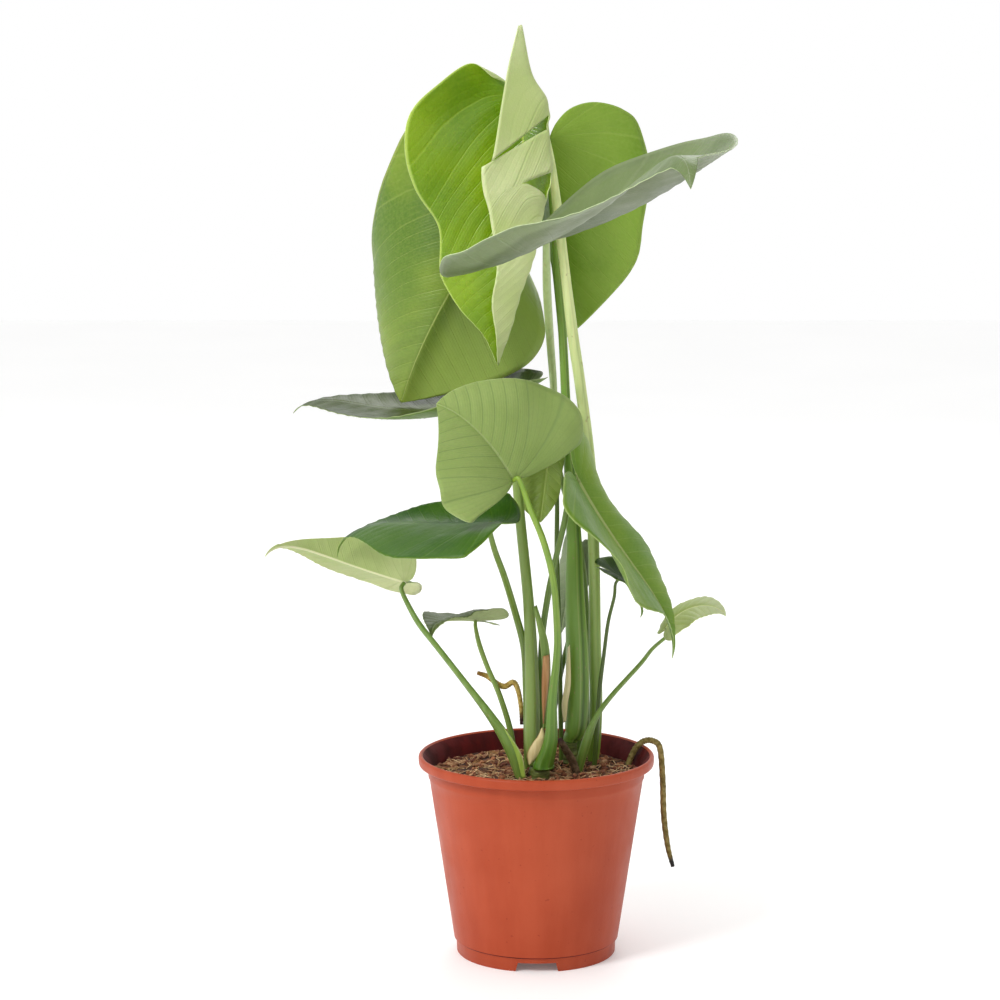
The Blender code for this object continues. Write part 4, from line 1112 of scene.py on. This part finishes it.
class Nodes:
    """The nodes of a material or of the world; each method adds one and gives its output."""

    def __init__(self, owner):
        owner.use_nodes = True
        self.owner = owner
        self.tree = owner.node_tree

    def fill(self, socket, value):
        if isinstance(value, bpy.types.NodeSocket):
            self.tree.links.new(value, socket)
        else:
            socket.default_value = value

    def add(self, kind, entries, **settings):
        node = self.tree.nodes.new("ShaderNode" + kind)
        for name, value in settings.items():
            setattr(node, name, value)
        for key, value in entries.items():
            self.fill(node.inputs[key], value)
        return node.outputs

    def calc(self, operation, first, second=0.0):
        return self.add("Math", {0: first, 1: second}, operation=operation)[0]

    def times(self, first, second):
        return self.calc("MULTIPLY", first, second)

    def minus(self, first, second):
        return self.calc("SUBTRACT", first, second)

    def within(self, value, low, high, to_low=0.0, to_high=1.0):
        """Spreads low to high over to_low to to_high, with soft ends."""
        entries = dict(enumerate((value, low, high, to_low, to_high)))
        return self.add("MapRange", entries, interpolation_type="SMOOTHSTEP")[0]

    def blend(self, share, first, second):
        """Two colours; one given as three numbers is a seen tone."""
        both = [tone(*colour) if isinstance(colour, tuple) and len(colour) == 3 else colour
                for colour in (first, second)]
        return self.add("Mix", {0: share, 6: both[0], 7: both[1]}, data_type="RGBA")[2]

    def cloud(self, scale, detail=3.0, stretch=(1, 1, 1)):
        """Noise over the place in the frame, 0 to 1."""
        place = self.add("TexCoord", {})["Object"]
        place = self.add("Mapping", {"Vector": place, "Scale": stretch})[0]
        return self.add("TexNoise", {"Vector": place, "Scale": scale, "Detail": detail})[0]

    def patches(self, scale, detail, low, high, to_low=0.0, to_high=1.0, stretch=(1, 1, 1)):
        return self.within(self.cloud(scale, detail, stretch), low, high, to_low, to_high)

    def flat(self, layer):
        """The two flat coordinates of a layer."""
        place = self.add("UVMap", {}, uv_map=layer)[0]
        parts = self.add("SeparateXYZ", {0: place})
        return parts[0], parts[1]

    def finish(self, colour, rough, height=None, bump=0.0003, strength=1.0, constants=None):
        """Fills the shader: colour, roughness, a fine relief and values that are the same all over."""
        shader = self.tree.nodes["Principled BSDF"]
        entries = {"Base Color": colour, "Roughness": rough, **(constants or {})}
        if height is not None:
            relief = {"Height": height, "Distance": bump, "Strength": strength}
            entries["Normal"] = self.add("Bump", relief)[0]
        for name, value in entries.items():
            self.fill(shader.inputs[name], value)
        return self.owner


def new_look(name):
    return Nodes(bpy.data.materials.new(name))


def vein_count(look, along, away, spacing):
    """The nodes for vein_phase, with a slight wobble."""
    forward = look.minus(along, look.times(look.times(away, away), VEIN_BEND))
    ahead = look.calc("DIVIDE", look.minus(forward, look.times(away, VEIN_SLOPE)), spacing)
    turn = look.minus(look.calc("ARCTAN2", away, forward), atan2(1, VEIN_SLOPE))
    fan = look.times(turn, -LOBE_VEINS)
    count = look.calc("ADD", look.calc("MAXIMUM", ahead, 0.0), look.calc("MINIMUM", fan, 0.0))
    wobble = look.times(look.minus(look.cloud(WOBBLE_SCALE), 0.5), VEIN_WOBBLE)
    return look.calc("ADD", count, wobble)


def blade_look(name, spacing, looks):
    """A leaf's face: two greens in patches, side veins, fine veins, the midrib and a pale margin."""
    look = new_look(name)
    along, across = look.flat("flat")
    row, share = look.flat("share")
    away = look.times(look.calc("ABSOLUTE", across), 1 / MM)
    count = vein_count(look, look.times(along, 1 / MM), away, spacing)
    from_vein = look.times(look.calc("PINGPONG", count, 0.5), spacing)
    veins = look.within(from_vein, *VEIN_EDGE, 1.0, 0.0)
    fine_count = look.times(count, FINE_VEINS)
    fine = look.within(look.calc("PINGPONG", fine_count, 0.5), *FINE_VEIN_EDGE, 1.0, 0.0)
    rib_width = looks["rib_width"]
    rib_half = look.within(row, RIB_START, 1.0, rib_width, rib_width * RIB_TAPER)
    rib = look.within(away, look.times(rib_half, RIB_CORE), rib_half, 1.0, 0.0)
    colour = look.blend(look.patches(14.0, 2.0, 0.35, 0.65), looks["dark"], looks["light"])
    colour = look.blend(look.within(row, TIP_START, 1.0, 0.0, looks["tip_share"]), colour, looks["tip"])
    # Painted light: one half of the blade is lightened where it lies in shade
    half = look.within(across, -LIT_HALF_FADE * MM, 0.0, looks["half_share"], 0.0)
    colour = look.blend(half, colour, looks["half"])
    grain = look.times(look.patches(420.0, 4.0, 0.3, 0.7), GRAIN_SHARE)
    fine_share = look.times(fine, looks["veins"] * FINE_VEIN_SHARE)
    for layer in (grain, fine_share, look.times(veins, looks["veins"])):
        colour = look.blend(layer, colour, looks["vein"])
    colour = look.blend(look.times(rib, RIB_SHARE), colour, looks["rib"])
    band = look.within(share, looks["band_from"], looks["band_from"] + BAND_FADE)
    band = look.times(band, look.within(row, *BAND_START))
    colour = look.blend(look.times(band, looks["band"]), colour, BAND_TONE)
    edge = look.times(look.within(share, *PALE_EDGE), EDGE_SHARE)
    colour = look.blend(edge, colour, looks["rib"])
    rough = look.patches(60.0, 3.0, 0.3, 0.7, *(looks["rough"] + more for more in ROUGH_SPREAD))
    height = look.calc("ADD", look.times(veins, VEIN_RELIEF), look.times(fine, FINE_VEIN_RELIEF))
    height = look.calc("ADD", height, look.times(look.cloud(900.0), GRAIN_RELIEF))
    flesh = {"Subsurface Weight": 0.12, "Subsurface Radius": LEAF_GLOW, "Subsurface Scale": 0.001,
             "Specular IOR Level": looks["gloss"]}
    return look.finish(colour, rough, height, strength=0.7, constants=flesh)


def plain_look(name, colour):
    """The cut edge of a leaf: its own tone with a fine grain."""
    look = new_look(name)
    pale = tuple(min(255, value * 1.12) for value in colour)
    return look.finish(look.blend(look.patches(500.0, 3.0, 0.3, 0.7), colour, pale), 0.5)


def stalk_look(name, looks):
    """A petiole: foot and top tones, fine streaks along it, painted shade in the groove and small corky
    specks.
    """
    look = new_look(name)
    share, turn = look.flat("share")
    colour = look.blend(look.within(share, 0.05, 0.75), looks["foot"], looks["top"])
    streaks = look.patches(260.0, 4.0, 0.35, 0.7, stretch=(1, 1, 0.06))
    colour = look.blend(look.times(streaks, 0.4), colour, looks["streak"])
    # Painted shade along the groove, fading out towards the top
    off = look.calc("PINGPONG", look.minus(turn, (looks["groove"] / 360) % 1), 0.5)
    fade = look.within(share, 0.45, 0.9, 1.0, 0.0)
    dark = look.times(look.within(off, *GROOVE_EDGE, looks["line"], 0.0), fade)
    colour = look.blend(dark, colour, looks["shade"])
    from_lip = look.calc("ABSOLUTE", look.minus(off, GROOVE_LIP_PLACE))
    lip = look.times(look.within(from_lip, *GROOVE_LIP_EDGE, looks["line"] * GROOVE_LIP_SHARE, 0.0), fade)
    colour = look.blend(lip, colour, GROOVE_LIP)
    specks = look.patches(380.0, 2.0, 0.68, 0.74, 0.0, 0.5, (1, 1, 0.4))
    colour = look.blend(specks, colour, CORK)
    flesh = {"Subsurface Weight": 0.1, "Subsurface Scale": 0.002}
    return look.finish(colour, 0.4, streaks, strength=0.5, constants=flesh)


def sheath_look(name, dark, light, edge):
    """A dry or green sheath with streaks along it and its own edge tone."""
    look = new_look(name)
    _, share = look.flat("share")
    streaks = look.patches(240.0, 4.0, 0.35, 0.65, stretch=(1, 1, 0.1))
    off = look.calc("ABSOLUTE", look.minus(share, 0.5))
    colour = look.blend(look.within(off, 0.38, 0.48, 0.0, 0.8), look.blend(streaks, dark, light), edge)
    return look.finish(colour, 0.5, streaks)


def stem_look(name):
    look = new_look(name)
    bands = look.patches(200.0, 4.0, 0.35, 0.65, stretch=(0.3, 0.3, 2.0))
    return look.finish(look.blend(bands, BARK_DARK, BARK_LIGHT), 0.6, bands, 0.0006)


def root_look(name, looks):
    """Corky skin with a fine relief, darker towards the end and with its own tone at the foot."""
    look = new_look(name)
    share, _ = look.flat("share")
    skin = look.patches(300.0, 5.0, 0.3, 0.7)
    colour = look.blend(skin, looks["dark"], looks["light"])
    colour = look.blend(look.within(share, looks["tip_from"], 0.97), colour, looks["tip"])
    colour = look.blend(look.within(share, 0.04, looks["foot_to"], 1.0, 0.0), colour, looks["foot"])
    return look.finish(colour, 0.75, skin, 0.0008)


def pot_look():
    """Moulded plastic: even terracotta with faint clouds, flow lines and a few rubbed specks."""
    look = new_look("pot_plastic")
    colour = look.blend(look.patches(9.0, 4.0, 0.3, 0.7), POT_DARK, POT_LIGHT)
    flow = look.patches(70.0, 3.0, 0.35, 0.7, stretch=(1, 1, 0.08))
    colour = look.blend(look.times(flow, 0.12), colour, POT_FLOW)
    colour = look.blend(look.patches(320.0, 1.0, 0.74, 0.78, 0.0, 0.35), colour, POT_SPECK)
    rough = look.patches(40.0, 4.0, 0.3, 0.7, 0.36, 0.48)
    grain = look.calc("ADD", look.times(look.cloud(700.0), 0.5), look.times(flow, 0.3))
    plastic = {"Specular IOR Level": 0.2, "Subsurface Weight": 0.03, "Subsurface Scale": 0.001}
    return look.finish(colour, rough, grain, 0.0002, 0.6, plastic)


def inside_shade_look():
    """The pot's inside: the same plastic with painted shade, darker in patches."""
    look = new_look("pot_inside_shade")
    shade_patches = look.patches(55.0, 5.0, 0.35, 0.65, stretch=(1, 1, 0.5))
    rough = look.within(shade_patches, 0.0, 1.0, 0.7, 0.55)
    colour = look.blend(shade_patches, INSIDE_SHADE_DARK, INSIDE_SHADE_LIGHT)
    return look.finish(colour, rough, shade_patches, constants={"Specular IOR Level": 0.12})


def soil_look():
    look = new_look("peat")
    crumbs = look.patches(260.0, 5.0, 0.35, 0.68)
    bits = look.times(look.patches(520.0, 2.0, 0.62, 0.7), 0.7)
    colour = look.blend(bits, look.blend(crumbs, PEAT_DARK, PEAT_LIGHT), PEAT_BIT)
    return look.finish(colour, 0.92, crumbs, 0.0015)


def bit_look(name, dark, light):
    """Crumbs, chips or strands, each patch in its own tone."""
    look = new_look(name)
    grain = look.patches(900.0, 4.0, 0.35, 0.7, 0.0, 0.45)
    colour = look.blend(grain, look.blend(look.patches(110.0, 2.0, 0.35, 0.65), dark, light), dark)
    return look.finish(colour, 0.85, grain, 0.0005)


def floor_look():
    look = new_look("studio_floor")
    colour = look.blend(look.patches(3.0, 2.0, 0.3, 0.7), FLOOR_DARK, FLOOR_LIGHT)
    glow = {"Emission Color": (1, 1, 1, 1), "Emission Strength": FLOOR_GLOW}
    return look.finish(colour, 0.7, constants=glow)


# Stage


def add_floor():
    mesh = bpy.data.meshes.new("floor")
    corners = [(-FLOOR, -FLOOR, 0), (FLOOR, -FLOOR, 0), (FLOOR, FLOOR, 0), (-FLOOR, FLOOR, 0)]
    mesh.from_pydata(corners, [], [(0, 1, 2, 3)])
    thing = new_piece("floor", mesh, [floor_look()])


def add_light(name, place, size, power):
    light = bpy.data.lights.new(name, "AREA")
    light.shape = "DISK"
    light.size = size
    light.energy = power
    thing = bpy.data.objects.new(name, light)
    thing.location = place
    thing.rotation_euler = (Vector(LOOK_AT) - Vector(place)).to_track_quat("-Z", "Y").to_euler()
    thing.visible_camera = False
    bpy.context.scene.collection.objects.link(thing)


def add_world():
    """A white room, dimmer towards DARKER_SIDE."""
    world = bpy.data.worlds.new("studio")
    look = Nodes(world)
    way = look.add("TexCoord", {})["Generated"]
    side = look.add("VectorMath", {0: way, 1: DARKER_SIDE}, operation="DOT_PRODUCT")["Value"]
    background = look.tree.nodes["Background"].inputs
    background["Color"].default_value = (1, 1, 1, 1)
    look.fill(background["Strength"], look.within(side, *DARKER_SPAN, WORLD_LIGHT, DARKER_SHARE))
    bpy.context.scene.world = world


def add_camera():
    camera = bpy.data.cameras.new("camera")
    camera.lens = LENS
    camera.sensor_width = SENSOR
    thing = bpy.data.objects.new("camera", camera)
    thing.location = CAMERA
    thing.rotation_euler = (pi / 2 - CAMERA_DOWN, 0, 0)
    bpy.context.scene.collection.objects.link(thing)
    bpy.context.scene.camera = thing


def main():
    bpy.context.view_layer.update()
    add_pot()
    add_soil()
    scatter("crumbs", *CRUMBS, bit_look("crumb", *CRUMB))
    scatter("bark_chips", *CHIPS, bit_look("bark", *CHIP))
    add_fibres("coir", *STRANDS, bit_look("coir", *COIR))
    for name in PETIOLES:
        add_leaf(name)
        add_petiole(name)
    for name, left, right, dark, light, edge in SHEATHS:
        add_sheath(name, left, right, sheath_look(name, dark, light, edge))
    for seed, name in enumerate(STEMS):
        add_stem(name, seed)
    for seed, name in enumerate(ROOTS):
        add_root(name, seed + ROOT_SEED)
    add_floor()
    add_world()
    for light in LIGHTS:
        add_light(*light)
    add_camera()
    bpy.context.scene.view_settings.view_transform = "Standard"


main()
